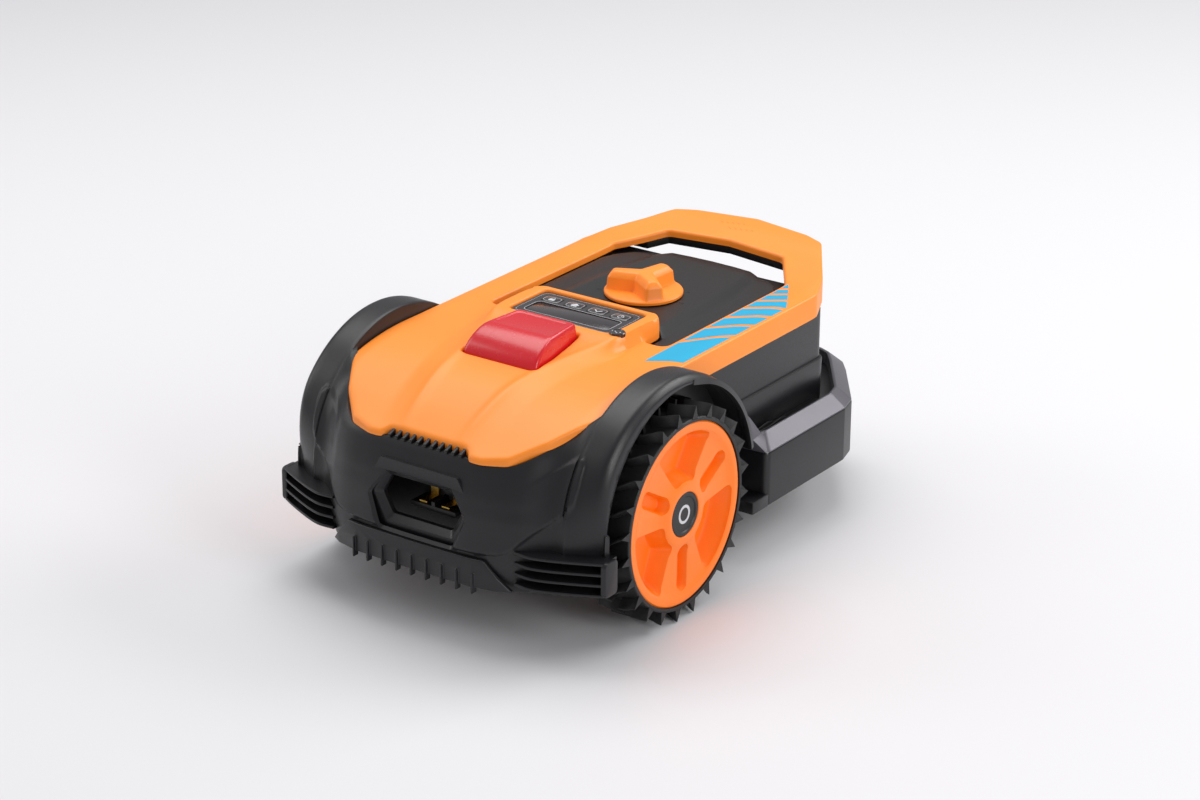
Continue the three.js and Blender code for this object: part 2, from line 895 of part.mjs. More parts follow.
function portOutline(grow = 0) {
  const middle = (port.bottomZ + port.topZ) / 2;
  return offset(
    [
      [-port.topHalfWidth, port.bottomZ],
      [port.topHalfWidth, port.bottomZ],
      [port.halfWidth, middle],
      [port.topHalfWidth, port.topZ],
      [-port.topHalfWidth, port.topZ],
      [-port.halfWidth, middle],
    ],
    grow,
  );
}

// Solid of revolution about an axis parallel to X, from [x, radius] points that start and end on it.
function turned(profile, centre, steps) {
  const points = profile.map(([x, radius]) => new THREE.Vector2(radius, x));
  const geometry = new THREE.LatheGeometry(points, steps);
  const matrix = new THREE.Matrix4().makeBasis(
    new THREE.Vector3(0, 1, 0),
    new THREE.Vector3(1, 0, 0),
    new THREE.Vector3(0, 0, -1),
  );
  return toSolid(geometry.applyMatrix4(matrix.setPosition(0, centre[0], centre[1])));
}

// Fender over one wheel: an arched roof with an inner wall beside the hood and a turned-down outer lip.
function makeFender() {
  const crown = (inset) => {
    const inner = fenderInnerX + inset;
    const outer = fenderOuterX - inset;
    const radius = crownRadius - inset;
    return turned(
      [
        [inner, 0],
        [inner, radius],
        [outer - fender.chamfer, radius],
        [outer, radius - fender.chamfer],
        [outer, 0],
      ],
      crownCentre,
      56,
    );
  };
  const side = alongZ(
    [
      [fenderInnerX, -reach],
      [fenderInnerX, fender.frontStation],
      [fender.bendX, fender.bendStation],
      [fenderOuterX, fender.cornerStation],
      [fenderOuterX, reach],
      [0, reach],
      [0, -reach],
    ],
    0,
    reach,
  );
  const above = alongX(
    [
      [-reach, nose.bottomZ],
      [0, axleZ - 4],
      [trim.noseStation, axleZ + 20],
      [trim.noseStation, reach],
      [-reach, reach],
    ],
    0,
    reach,
  );
  const arch = bar("x", archRadius, 0, reach, archCentre, 56);
  return crown(0).subtract(crown(skin)).subtract(arch).intersect(side).intersect(above);
}

// Room for both wheels to turn in, as far in as their inner faces.
function wheelSpaces() {
  const right = bar("x", archRadius, wheelInnerX - runningGap, reach, archCentre, 56);
  const roofLine = box(0, reach, -reach, reach, axleZ + wheel.treadRadius, reach);
  const rightWall = right.subtract(roofLine.intersect(box(0, fenderInnerX + skin, -reach, reach, 0, reach)));
  return rightWall.add(mirrored(rightWall));
}

function makeFrontShell() {
  const hollow = noseBlock(skin)
    .add(box(-reach, reach, nose.flangeStation - 2 * skin, nose.flangeStation + skin, 0, 194).intersect(
      alongZ(nosePlan(-skin), 0, reach),
    ))
    .add(alongZ(nosePlan(-skin), 0, nose.bottomZ + 2 * skin).intersect(
      box(-reach, reach, nose.tipStation + 3 * skin, 0, 0, reach),
    ));
  const shell = noseBlock(0).subtract(hollow);
  const right = makeFender();
  const front = nose.tipStation - skin;
  const bevelFloor = nose.tipStation + port.bevelDepth;
  const collar = alongY(portOutline(port.bevel + skin), front, bevelFloor + 2 * skin).intersect(noseBlock(0));
  const bevel = alongY(portOutline(port.bevel), front, bevelFloor);
  const opening = alongY(portOutline(), front, nose.tipStation + 30);
  return union([shell, right, mirrored(right), collar])
    .subtract(bevel)
    .subtract(opening)
    .subtract(hoodEnvelope())
    .subtract(wheelSpaces())
    .subtract(box(-reach, reach, -reach, reach, 0, nose.bottomZ));
}

function lipOutline(drop) {
  return [
    [-lip.bottomHalfWidth, lip.bottomZ - drop],
    [lip.bottomHalfWidth, lip.bottomZ - drop],
    [lip.topHalfWidth, nose.lipZ - drop],
    [-lip.topHalfWidth, nose.lipZ - drop],
  ];
}

function makeBumperLip() {
  const depth = (from, to) => alongZ(nosePlan(to), 0, reach).subtract(alongZ(nosePlan(from), 0, reach));
  const front = box(-reach, reach, -reach, lip.rearStation, 0, reach);
  const band = depth(gap, lip.thickness).intersect(alongY(lipOutline(0), -reach, 0)).intersect(front);
  const ribs = [];
  for (let i = 0; i < lip.ribs; i += 1) {
    const x = (i - (lip.ribs - 1) / 2) * lip.ribPitch;
    const half = lip.ribWidth / 2;
    ribs.push(box(x - half, x + half, -reach, lip.rearStation, nose.bottomZ - skin, nose.lipZ - lip.ribDrop));
  }
  const comb = union(ribs).intersect(depth(gap, lip.thickness + lip.ribDepth));
  return band.add(comb);
}

// Comb of slats ahead of one wheel, joined by an outer end plate and a strip along the nose.
function makeSideFins() {
  const plateX = fins.outerX - fins.plate;
  const face = [
    [fins.innerX, fins.innerStation],
    [plateX + 1, fins.outerStation],
  ];
  const { slatDepth, stripDepth } = fins;
  const band = (depth) => [
    ...face,
    [plateX + 1, fins.outerStation + depth],
    [fins.innerX, fins.innerStation + depth],
  ];
  const rise = (fins.topZ - fins.bottomZ - fins.slatHeight) / (fins.slats - 1);
  const slats = [];
  for (let i = 0; i < fins.slats; i += 1) {
    const z = fins.bottomZ + i * rise;
    slats.push(alongZ(band(slatDepth), z, z + fins.slatHeight));
  }
  const strip = alongZ(
    band(2 * stripDepth).map(([x, y], i) => (i < 2 ? [x, y + stripDepth] : [x, y])),
    fins.bottomZ,
    fins.topZ,
  );
  const plate = box(plateX, fins.outerX, fins.outerStation, fins.outerStation + slatDepth, fins.bottomZ, fins.topZ);
  const clear = alongZ(nosePlan(gap), 0, reach);
  const arch = bar("x", crownRadius + gap, 0, fenderOuterX + gap, crownCentre, 72);
  const wheelSpace = bar("x", archRadius - 4, fenderOuterX, reach, [0, axleZ], 56);
  return union([strip, plate, ...slats]).subtract(clear).subtract(arch).subtract(wheelSpace);
}

// ---------------------------------------------------------------- wheels

// One wheel's pieces are made on the right-hand side.
function makeRim() {
  const outer = wheel.outerX - rim.inset;
  const centre = [0, axleZ];
  const dishEnd = wheelInnerX + wheel.width * rim.dishShare;
  let body = bar("x", wheel.rimRadius, wheelInnerX + 4 * rim.inset, outer, centre, 48);
  for (let i = 0; i < rim.pockets; i += 1) {
    const middle = spoke.firstAngle + ((i + 0.5) * 360) / rim.pockets;
    body = body.subtract(rimPocket(middle, outer)).subtract(rimSlot(middle + 180 / rim.pockets, outer));
  }
  const dish = bar("x", wheel.rimRadius - rim.thickness, wheelInnerX, dishEnd, centre, 32);
  const seat = bar("x", hub.radius + gap, outer - hub.recess + rim.inset, reach, centre, 24);
  const bore = bar("x", hub.axleRadius + gap, 0, reach, centre, 16);
  return body.subtract(dish).subtract(seat).subtract(bore);
}

// Deep pocket between two spokes.
function rimPocket(middle, outer) {
  const [from, to] = [middle - spoke.pocketHalfAngle, middle + spoke.pocketHalfAngle];
  const outline = [
    ...arc([0, axleZ], wheel.rimRadius - rim.thickness, from, to, 8),
    ...arc([0, axleZ], hub.bossRadius + spoke.rootClearance, to, from, 5),
  ];
  return alongX(outline, outer - spoke.pocketDepth, reach);
}

// Shallow slot along the middle of one spoke.
function rimSlot(degrees, outer) {
  const turn = THREE.MathUtils.degToRad(degrees);
  const [y, z] = [Math.cos(turn), Math.sin(turn)];
  const half = slot.width / 2;
  const outline = [
    [slot.start, -half],
    [slot.end, -half],
    [slot.end, half],
    [slot.start, half],
  ].map(([radius, across]) => [radius * y - across * z, axleZ + radius * z + across * y]);
  return alongX(outline, outer - slot.depth, reach);
}

// One row of lugs round the tread; every other row is turned by half a pitch.
function lugRow(turn, x0, x1) {
  const pitch = 360 / wheel.lugs;
  const outline = [];
  for (let i = 0; i < wheel.lugs; i += 1) {
    const at = (i + turn) * pitch;
    const [root, shoulder, tip] = [lugShare.root, lugShare.shoulder, lugShare.tip].map((share) => share * pitch);
    outline.push(...arc([0, axleZ], wheel.treadRadius, at - root, at - shoulder, 1));
    outline.push(...arc([0, axleZ], wheel.tipRadius, at - tip, at + tip, 1));
    outline.push(...arc([0, axleZ], wheel.treadRadius, at + shoulder, at + root, 1));
  }
  return alongX(outline, x0, x1);
}

function makeTyre() {
  const middle = wheel.outerX - wheel.width / 2;
  const rows = lugRow(0, middle, wheel.outerX).add(lugRow(0.5, wheelInnerX, middle));
  return rows.subtract(bar("x", wheel.rimRadius + gap, 0, reach, [0, axleZ], 48));
}

function makeHubCap() {
  const seat = wheel.outerX - hub.recess + gap;
  return bar("x", hub.radius, seat, seat + hub.capHeight, [0, axleZ], 28);
}

function makeAxle() {
  const inner = chassisHalfWidth - chassis.wall - driveMotor.socket / 2;
  return bar("x", hub.axleRadius, inner, wheel.outerX - hub.recess - gap, [0, axleZ], 16);
}

function makeDriveMotor() {
  const inner = chassisHalfWidth - chassis.wall - gap;
  const { radius, length, gearbox, boxHalfLength, boxHalfHeight } = driveMotor;
  const can = bar("x", radius, inner - gearbox - length, inner - gearbox / 2, [0, axleZ], 24);
  const housing = box(
    inner - gearbox,
    inner,
    -boxHalfLength,
    boxHalfLength,
    axleZ - boxHalfHeight,
    axleZ + boxHalfHeight,
  );
  const socket = bar("x", hub.axleRadius + gap, inner - driveMotor.socket, reach, [0, axleZ], 16);
  return can.add(housing).subtract(socket);
}

// ---------------------------------------------------------------- chassis and tail

function makeChassis() {
  const half = chassisHalfWidth;
  const front = chassis.frontStation;
  const rear = tail.frontStation - gap;
  const tub = box(-half, half, front, rear, chassis.floorZ, chassis.topZ);
  const inside = box(
    -half + chassis.wall,
    half - chassis.wall,
    front + chassis.wall,
    rear - chassis.wall,
    chassis.floorZ + chassis.wall,
    reach,
  );
  let result = tub.subtract(inside);
  result = result.subtract(bar("x", hub.axleRadius + runningGap, -reach, reach, [0, axleZ], 16));
  result = result.subtract(doorBox(gap, 0, reach));
  result = result.subtract(box(-reach, reach, body.frontStation - gap, reach, body.bottomZ - gap, reach));
  const roofZ = chassis.topZ - chassis.discRoofDrop;
  return result.subtract(bar("z", disc.radius + chassis.discRoom, 0, roofZ, [0, knob.station], 32));
}

function makeRearBody() {
  const plan = deckOutline(body.halfWidth, body.frontStation, body.rearStation, body.corner);
  const outline = (grow) => offset(plan, grow);
  const shell = alongZ(outline(0), body.bottomZ, deck.edgeZ - skin - gap);
  const hollow = alongZ(outline(-skin), body.bottomZ - 1, deck.edgeZ - 2 * skin);
  const inner = body.halfWidth - skin;
  const open = box(-inner, inner, 0, body.frontStation + body.frontLedge, 0, deck.edgeZ - 2 * skin);
  const hole = bar("z", lift.spindleRadius + runningGap, 0, reach, [0, knob.station], 20);
  const bezel = alongZ(bezelSkirtOutline(gap), 0, reach);
  const skirtBottom = hood.railTopZ - hood.skirtDepth - gap;
  const beyondSkirt = box(-reach, reach, -reach, reach, skirtBottom, reach).subtract(
    alongZ(hoodOutline(-skin - gap), 0, reach),
  );
  return shell.subtract(hollow).subtract(open).subtract(hole).subtract(bezel).subtract(beyondSkirt);
}

// The tail seen from above: straight flanks that taper in two steps to a flat rear end.
function tailOutline(grow = 0, front = tail.frontStation) {
  const half = [
    [tail.halfWidth, front],
    [tail.halfWidth, tail.straightEnd],
    [tail.halfWidth - tail.cornerStep, tail.straightEnd + tail.cornerRun],
    [tail.halfWidth - tail.taperStep, tail.rearStation - tail.taperEnd],
    [tail.endHalfWidth, tail.rearStation],
  ];
  return offset(symmetric(half), grow);
}

function makeRearBase() {
  const outer = alongZ(tailOutline(), tail.bottomZ, tail.topZ);
  const inner = alongZ(tailOutline(-skin), tail.bottomZ - 1, tail.topZ - skin);
  const roofHole = alongZ(
    deckOutline(chassisHalfWidth - 24, tail.frontStation - 5, castor.station - 40, 10),
    0,
    reach,
  );
  const pivots = [castor.x, -castor.x].map((x) => [x, castor.station]);
  const ears = pivots.map((at) => bar("z", castor.earRadius, castor.earBottomZ, tail.topZ - 1, at, 20));
  const boreTop = tail.topZ - 2 * skin - gap;
  const bores = pivots.map((at) => bar("z", castor.stemRadius + runningGap, 0, boreTop, at, 16));
  const feet = [1, -1].map((side) => {
    const outerX = side * tail.halfWidth;
    const innerX = side * (tail.halfWidth - foot.width);
    return box(
      Math.min(outerX, innerX),
      Math.max(outerX, innerX),
      tail.frontStation - foot.length,
      tail.frontStation + 1,
      tail.bottomZ,
      tail.bottomZ + foot.height,
    );
  });
  return union([outer.subtract(inner).subtract(roofHole), ...ears, ...feet])
    .subtract(union(bores))
    .subtract(rockerOpening());
}

// Bevelled frame round the tail's upper edge, rising at the front to meet the fenders.
function makeRearTrim() {
  const low = tail.topZ + gap;
  const frame = taper(tailOutline(), tailOutline(-trim.inset), low, trimTopZ);
  const opening = alongZ(tailOutline(-trim.inset - trim.edge, tail.frontStation - 40), 0, reach);
  const wing = alongX(
    [
      [tail.frontStation, low],
      [tail.frontStation + trim.footLength, low],
      [tail.frontStation - trim.edge, trimTopZ],
      [trim.noseStation + trim.noseLength, trim.noseZ],
      [trim.noseStation + trim.edge, trim.noseZ],
    ],
    body.halfWidth + 2 * gap,
    trimInnerHalfWidth,
  );
  return union([frame.subtract(opening), wing, mirrored(wing)]);
}

// Recessed side deck between the trim and the upper body, with three raised louvre slats.
function makeLouvre() {
  const inner = body.halfWidth + gap;
  const outer = trimInnerHalfWidth - gap;
  const z = tail.topZ + gap;
  const front = tail.frontStation + trim.footLength + gap;
  const top = z + louvre.plate;
  const plate = box(inner, outer, front, tail.straightEnd - louvre.rearGap, z, top);
  const slats = [];
  for (let i = 0; i < louvre.slats; i += 1) {
    const y = front + louvre.firstSlat + i * louvre.slatPitch;
    const x = inner + louvre.slatWidth + louvre.slatStep * i;
    const profile = [
      [y, top - 1],
      [y + louvre.slatLength, top - 1],
      [y + louvre.slatLength, top + 2],
      [y + louvre.slatFlat, top + 4],
      [y, top + 1],
    ];
    slats.push(alongX(profile, x, x + louvre.slatWidth));
  }
  return union([plate, ...slats]);
}

// ---------------------------------------------------------------- castors

function makeCastorFork() {
  const { eyeHalf, crownHalf } = castor;
  const innerHalf = castor.wheelWidth / 2 + runningGap;
  const outerHalf = innerHalf + castor.cheek;
  const crownTop = forkTopZ + castor.crownHeight;
  const cheek = (x0, x1) =>
    alongX(
      [
        [castorAxleStation - eyeHalf, castor.wheelRadius - eyeHalf],
        [castorAxleStation + eyeHalf, castor.wheelRadius - eyeHalf],
        [castorAxleStation + eyeHalf, castor.wheelRadius + eyeHalf],
        [castor.station + crownHalf, crownTop],
        [castor.station - crownHalf, crownTop],
      ],
      castor.x + x0,
      castor.x + x1,
    );
  const crown = box(
    castor.x - outerHalf,
    castor.x + outerHalf,
    castor.station - crownHalf,
    castor.station + crownHalf,
    forkTopZ,
    crownTop,
  );
  const stemTop = tail.topZ - 2 * skin - 2 * gap;
  const stem = bar("z", castor.stemRadius, forkTopZ + 1, stemTop, [castor.x, castor.station], 16);
  const pinHole = bar("x", castor.pinRadius + gap, 0, reach, [castorAxleStation, castor.wheelRadius], 14);
  return union([cheek(-outerHalf, -innerHalf), cheek(innerHalf, outerHalf), crown, stem]).subtract(pinHole);
}

function makeCastorWheel() {
  const half = castor.wheelWidth / 2;
  const centre = [castorAxleStation, castor.wheelRadius];
  const tread = bar("x", castor.wheelRadius, castor.x - half, castor.x + half, centre, 32);
  const bore = bar("x", castor.pinRadius + gap, 0, reach, centre, 14);
  const dish = (x0, x1) =>
    bar("x", castor.wheelRadius - castor.tyreDepth, x0, x1, centre, 20).subtract(
      bar("x", castor.hubRadius, 0, reach, centre, 16),
    );
  return tread
    .subtract(bore)
    .subtract(dish(castor.x + half - castor.dishDepth, reach))
    .subtract(dish(0, castor.x - half + castor.dishDepth));
}

function makeCastorPin() {
  const half = castor.wheelWidth / 2 + runningGap + castor.cheek + castor.pinProud;
  const centre = [castorAxleStation, castor.wheelRadius];
  return bar("x", castor.pinRadius, castor.x - half, castor.x + half, centre, 14);
}

// ---------------------------------------------------------------- inside

function makeBattery() {
  const { width, length, height, station, bottomZ } = battery;
  const rear = station + length / 2;
  const pack = box(-width / 2, width / 2, rear - length, rear, bottomZ, bottomZ + height);
  const plugTop = bottomZ + height - batteryPlug.topDrop;
  const { halfWidth } = batteryPlug;
  return pack.add(
    box(-halfWidth, halfWidth, rear - 1, rear + batteryPlug.length, plugTop - batteryPlug.height, plugTop),
  );
}

function makeCircuitBoard() {
  const { halfWidth, front, rear, z, thickness, partTopZ } = circuit;
  const plate = box(-halfWidth, halfWidth, front, rear, z, z + thickness);
  const parts = [
    [-40, -10, 10, 22],
    [12, 40, 30, 62],
    [-30, 0, 40, 70],
  ].map(([x0, x1, y0, y1]) => box(x0, x1, y0, y1, z + 1, partTopZ));
  return union([plate, ...parts]);
}

function makeContactBlock() {
  const { halfWidth, wall, dividerHalf } = contactBlock;
  const front = nose.tipStation + contactBlock.frontInset;
  const rear = chassis.frontStation - contactBlock.rearInset;
  const bottom = port.bottomZ + contactBlock.rise;
  const top = bottom + contactBlock.floor;
  const floor = box(-halfWidth, halfWidth, front, rear, bottom, top);
  const back = box(-halfWidth, halfWidth, rear - wall, rear, bottom, port.topZ - 2);
  const divider = box(-dividerHalf, dividerHalf, front, rear - 1, top - 1, top + wall);
  return union([floor, back, divider]);
}

function makeChargeContact(side) {
  const { halfWidth, thickness, height } = contact;
  const x = side * contact.x;
  const bottom = port.bottomZ + contactBlock.rise + contactBlock.floor + gap;
  const front = nose.tipStation + contactBlock.frontInset + 2;
  const rear = chassis.frontStation - contactBlock.rearInset - contactBlock.wall - gap;
  const strip = box(x - halfWidth, x + halfWidth, front, rear, bottom, bottom + thickness);
  return strip.add(box(x - halfWidth, x + halfWidth, rear - thickness, rear, bottom, bottom + height));
}

// Rocker in the tail's rear wall; its two halves stand proud of the wall in turn.
function makePowerSwitch() {
  const { halfWidth, halfHeight, proud, waist, depth, corner, z } = rocker;
  const face = tail.rearStation;
  const side = [
    [face - depth, z + halfHeight - corner],
    [face - 1, z + halfHeight],
    [face + proud, z + halfHeight - 1],
    [face + waist, z],
    [face + proud, z - halfHeight + 1],
    [face - 1, z - halfHeight],
    [face - depth, z - halfHeight + corner],
  ];
  return alongX(side, -halfWidth, halfWidth);
}

function rockerOpening() {
  const halfWidth = rocker.halfWidth + runningGap;
  const halfHeight = rocker.halfHeight + rocker.travelGap;
  return box(
    -halfWidth,
    halfWidth,
    tail.rearStation - 2 * skin,
    tail.rearStation + skin,
    rocker.z - halfHeight,
    rocker.z + halfHeight,
  );
}

function doorBox(grow, z0, z1) {
  return box(-door.halfWidth - grow, door.halfWidth + grow, door.front - grow, door.rear + grow, z0, z1);
}

function makeBatteryDoor() {
  const plate = doorBox(0, chassis.floorZ, chassis.floorZ + chassis.wall);
  const { tabHalfWidth, tabFront, tabRear, tabHeight, rear } = door;
  const tabTop = chassis.floorZ + 1;
  return plate.add(
    box(-tabHalfWidth, tabHalfWidth, rear - tabFront, rear - tabRear, chassis.floorZ - tabHeight, tabTop),
  );
}

// ---------------------------------------------------------------- assembly

const machine = new THREE.Group();

function place(name, solid, material) {
  const { vertProperties, triVerts } = solid.getMesh();
  const geometry = new THREE.BufferGeometry();
  geometry.setAttribute("position", new THREE.BufferAttribute(Float32Array.from(vertProperties), 3));
  geometry.setIndex(new THREE.BufferAttribute(Uint32Array.from(triVerts), 1));
  geometry.computeVertexNormals();
  const mesh = new THREE.Mesh(geometry, material);
  mesh.name = name;
  machine.add(mesh);
}

// Places a piece made on the right-hand side, and its mirror image on the left.
function placePair(name, solid, material) {
  place(`${name}_right`, solid, material);
  place(`${name}_left`, mirrored(solid), material);
}

place("front_shell", makeFrontShell(), charcoal);
place("bumper_lip", makeBumperLip(), charcoal);
placePair("side_fins", makeSideFins(), charcoal);
place("hood", makeHood(), orange);
place("handle_liner", makeHandleLiner(), black);
place("hood_grille", makeGrille(), black);
place("deck_cover", makeDeckCover(), black);
place("control_panel", makeControlPanel(), glossBlack);
place("display_window", makeDisplayWindow(), glossBlack);
place("rain_sensor", makeRainSensor(), glossBlack);
for (let i = 0; i < key.count; i += 1) place(`key_${i + 1}`, makeKey(i), glossBlack);
place("stop_button", makeStopButton(), stopRed);
place("stop_switch", makeStopSwitch(), black);
place("height_knob", makeHeightKnob(), orange);
place("height_spindle", makeHeightSpindle(), steel);
place("lift_carriage", makeLiftCarriage(), black);
place("cutting_motor", makeCuttingMotor(), steel);
place("blade_disc", makeBladeDisc(), black);
for (let i = 0; i < blade.count; i += 1) {
  place(`blade_${i + 1}`, makeBlade(i), steel);
  place(`blade_screw_${i + 1}`, makeBladeScrew(i), steel);
}
place("chassis_base", makeChassis(), black);
place("rear_body", makeRearBody(), black);
place("rear_base", makeRearBase(), black);
place("rear_trim", makeRearTrim(), trimGrey);
placePair("louvre", makeLouvre(), black);
placePair("wheel_rim", makeRim(), rimOrange);
placePair("tyre", makeTyre(), rubber);
placePair("hub_cap", makeHubCap(), black);
placePair("axle", makeAxle(), steel);
placePair("drive_motor", makeDriveMotor(), steel);
placePair("castor_fork", makeCastorFork(), black);
placePair("castor_wheel", makeCastorWheel(), rubber);
placePair("castor_pin", makeCastorPin(), steel);
place("battery_pack", makeBattery(), batteryBlue);
place("battery_door", makeBatteryDoor(), black);
place("power_switch", makePowerSwitch(), stopRed);
place("circuit_board", makeCircuitBoard(), board);
place("contact_block", makeContactBlock(), black);
place("charge_contact_right", makeChargeContact(1), brass);
place("charge_contact_left", makeChargeContact(-1), brass);

const footprint = new THREE.Box3().setFromObject(machine);
machine.position.y = -(footprint.min.y + footprint.max.y) / 2;

const model = new THREE.Group();
model.add(machine);

export default model;
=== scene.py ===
"""Robotic lawn mower: the visual model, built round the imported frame.

Everything is modelled in millimetres and stations. A station is a distance along Y from the drive axle, so the nose
has negative stations. Points are turned to metres in the row frame when they are placed on a mesh.
"""

import sys
import json
import logging
import math
from collections.abc import Callable, Iterable, Sequence
from dataclasses import dataclass, field
from enum import Enum
from functools import partial

import bmesh
import bpy
import numpy as np
from mathutils import Matrix, Vector


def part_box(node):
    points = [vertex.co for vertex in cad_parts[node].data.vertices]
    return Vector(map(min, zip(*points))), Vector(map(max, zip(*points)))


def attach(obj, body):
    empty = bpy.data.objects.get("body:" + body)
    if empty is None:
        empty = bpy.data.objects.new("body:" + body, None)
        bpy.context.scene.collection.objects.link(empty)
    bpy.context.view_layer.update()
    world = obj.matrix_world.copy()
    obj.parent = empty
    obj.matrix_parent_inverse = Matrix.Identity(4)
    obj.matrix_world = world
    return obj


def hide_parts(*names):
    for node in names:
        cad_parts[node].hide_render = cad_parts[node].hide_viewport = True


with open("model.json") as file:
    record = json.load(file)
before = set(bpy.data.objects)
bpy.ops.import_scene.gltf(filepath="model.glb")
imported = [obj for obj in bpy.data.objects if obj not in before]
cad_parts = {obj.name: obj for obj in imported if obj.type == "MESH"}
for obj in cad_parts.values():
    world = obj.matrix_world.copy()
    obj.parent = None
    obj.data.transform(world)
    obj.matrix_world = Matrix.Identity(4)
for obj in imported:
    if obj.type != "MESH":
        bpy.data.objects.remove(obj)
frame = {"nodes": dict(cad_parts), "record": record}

LOG = logging.getLogger("mower")
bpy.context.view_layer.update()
MM = 0.001
AXLE = (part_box("axle_right")[0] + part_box("axle_right")[1]) / 2
AXLE_Y = AXLE.y
AXLE_Z = AXLE.z / MM
SHIFT = np.array([0.0, AXLE_Y, 0.0])
SIDES = ((1, "right"), (-1, "left"))
STRAIGHT = math.radians(11)  # corners that turn less than this are left as they are

Outline = list[tuple[float, float]]


def to_metres(points: np.ndarray) -> np.ndarray:
    """Turn [x, station, z] rows in millimetres into metres in the row frame."""
    return np.asarray(points, float) * MM + SHIFT


def to_model(points: np.ndarray) -> np.ndarray:
    """Turn metres in the row frame back into [x, station, z] rows in millimetres."""
    return (np.asarray(points, float) - SHIFT) / MM


# ------------------------------------------------------------------ outlines


def symmetric(half: Sequence[tuple[float, float]]) -> Outline:
    """Close a right-hand half outline over the centre plane.

    Args:
        half: points from the front centre to the rear centre, x not negative.

    Returns:
        The whole outline, anticlockwise seen from above.
    """
    return [*half, *((-x, y) for x, y in reversed(half) if x > 0)]


def rounded(outline: Sequence[tuple[float, float]], radius: float, steps: int = 4) -> Outline:
    """Round every corner of an outline.

    Args:
        outline: closed outline.
        radius: wanted corner radius, made smaller where an edge is short.
        steps: number of chords in each corner.

    Returns:
        The rounded outline.
    """
    points = [np.array(p, float) for p in outline]
    count = len(points)
    result: Outline = []
    for i, corner in enumerate(points):
        before, after = points[i - 1] - corner, points[(i + 1) % count] - corner
        lb, la = np.linalg.norm(before), np.linalg.norm(after)
        ub, ua = before / lb, after / la
        turn = math.acos(max(-1.0, min(1.0, float(ub @ ua))))
        if math.pi - turn < STRAIGHT:
            result.append((float(corner[0]), float(corner[1])))
            continue
        reach = min(radius / math.tan(turn / 2), 0.45 * lb, 0.45 * la)
        a, c = corner + ub * reach, corner + ua * reach
        for k in range(steps + 1):
            t = k / steps
            p = (1 - t) ** 2 * a + 2 * t * (1 - t) * corner + t * t * c
            result.append((float(p[0]), float(p[1])))
    return result


def grown(outline: Sequence[tuple[float, float]], amount: float) -> Outline:
    """Move every edge of an anticlockwise outline outwards by an amount.

    Args:
        outline: closed anticlockwise outline.
        amount: distance in millimetres, negative to shrink.

    Returns:
        An outline with the same number of points.
    """
    p = np.asarray(outline, float)
    edge = np.roll(p, -1, 0) - p
    edge /= np.maximum(np.linalg.norm(edge, axis=1, keepdims=True), 1e-9)
    normal = np.stack([edge[:, 1], -edge[:, 0]], 1)
    previous = np.roll(normal, 1, 0)
    both = normal + previous
    scale = 2.0 / np.maximum((both**2).sum(1, keepdims=True), 0.5)
    moved = p + both * scale * amount
    return [(float(x), float(y)) for x, y in moved]


def circle(radius: float, count: int, centre: tuple[float, float] = (0.0, 0.0)) -> Outline:
    """Points of a circle, anticlockwise."""
    turns = [2 * math.pi * i / count for i in range(count)]
    return [(centre[0] + radius * math.cos(t), centre[1] + radius * math.sin(t)) for t in turns]


def rectangle(half_width: float, front: float, rear: float, x: float = 0.0) -> Outline:
    """Corners of a rectangle about x between two stations, anticlockwise."""
    return [(x + half_width, front), (x + half_width, rear), (x - half_width, rear), (x - half_width, front)]


def nearest_on(points: np.ndarray, outline: Sequence[tuple[float, float]]) -> tuple[np.ndarray, np.ndarray]:
    """Find the depth of points inside an outline.

    Args:
        points: rows of [x, station].
        outline: closed outline.

    Returns:
        The depth of each point, negative outside, and its nearest point on the outline.
    """
    polygon = np.asarray(outline, float)
    ends = np.roll(polygon, -1, 0)
    best = np.full(len(points), 1e9)
    near = np.zeros_like(points)
    inside = np.zeros(len(points), bool)
    for a, b in zip(polygon, ends, strict=True):
        edge = b - a
        t = np.clip(((points - a) @ edge) / max(float(edge @ edge), 1e-12), 0, 1)
        foot = a + t[:, None] * edge
        distance = np.linalg.norm(points - foot, axis=1)
        closer = distance < best
        best[closer] = distance[closer]
        near[closer] = foot[closer]
        crosses = (a[1] > points[:, 1]) != (b[1] > points[:, 1])
        if abs(b[1] - a[1]) > 1e-12:
            inside ^= crosses & (points[:, 0] < a[0] + (points[:, 1] - a[1]) * edge[0] / (b[1] - a[1]))
    return np.where(inside, best, -best), near


def eased(at: np.ndarray, knots: Sequence[tuple[float, float]]) -> np.ndarray:
    """Smooth curve through knots that doesn't overshoot.

    Args:
        at: where to read the curve.
        knots: (position, value) pairs with rising positions.

    Returns:
        The curve's values.
    """
    x, y = (np.array(c, float) for c in zip(*knots, strict=True))
    slope = np.diff(y) / np.diff(x)
    tangent = np.concatenate([[slope[0]], (slope[1:] + slope[:-1]) / 2, [slope[-1]]])
    flat = np.concatenate([[False], slope[1:] * slope[:-1] <= 0, [False]])
    tangent[flat] = 0
    at = np.clip(np.asarray(at, float), x[0], x[-1])
    i = np.clip(np.searchsorted(x, at) - 1, 0, len(x) - 2)
    h = x[i + 1] - x[i]
    t = (at - x[i]) / h
    a, b = 2 * t**3 - 3 * t**2 + 1, t**3 - 2 * t**2 + t
    return a * y[i] + b * h * tangent[i] + (1 - a) * y[i + 1] + (t**3 - t**2) * h * tangent[i + 1]


def smooth_step(value: np.ndarray) -> np.ndarray:
    """Ease from 0 to 1 while the value goes from 0 to 1."""
    t = np.clip(value, 0, 1)
    return t * t * (3 - 2 * t)


# ------------------------------------------------------------------ modelling operations


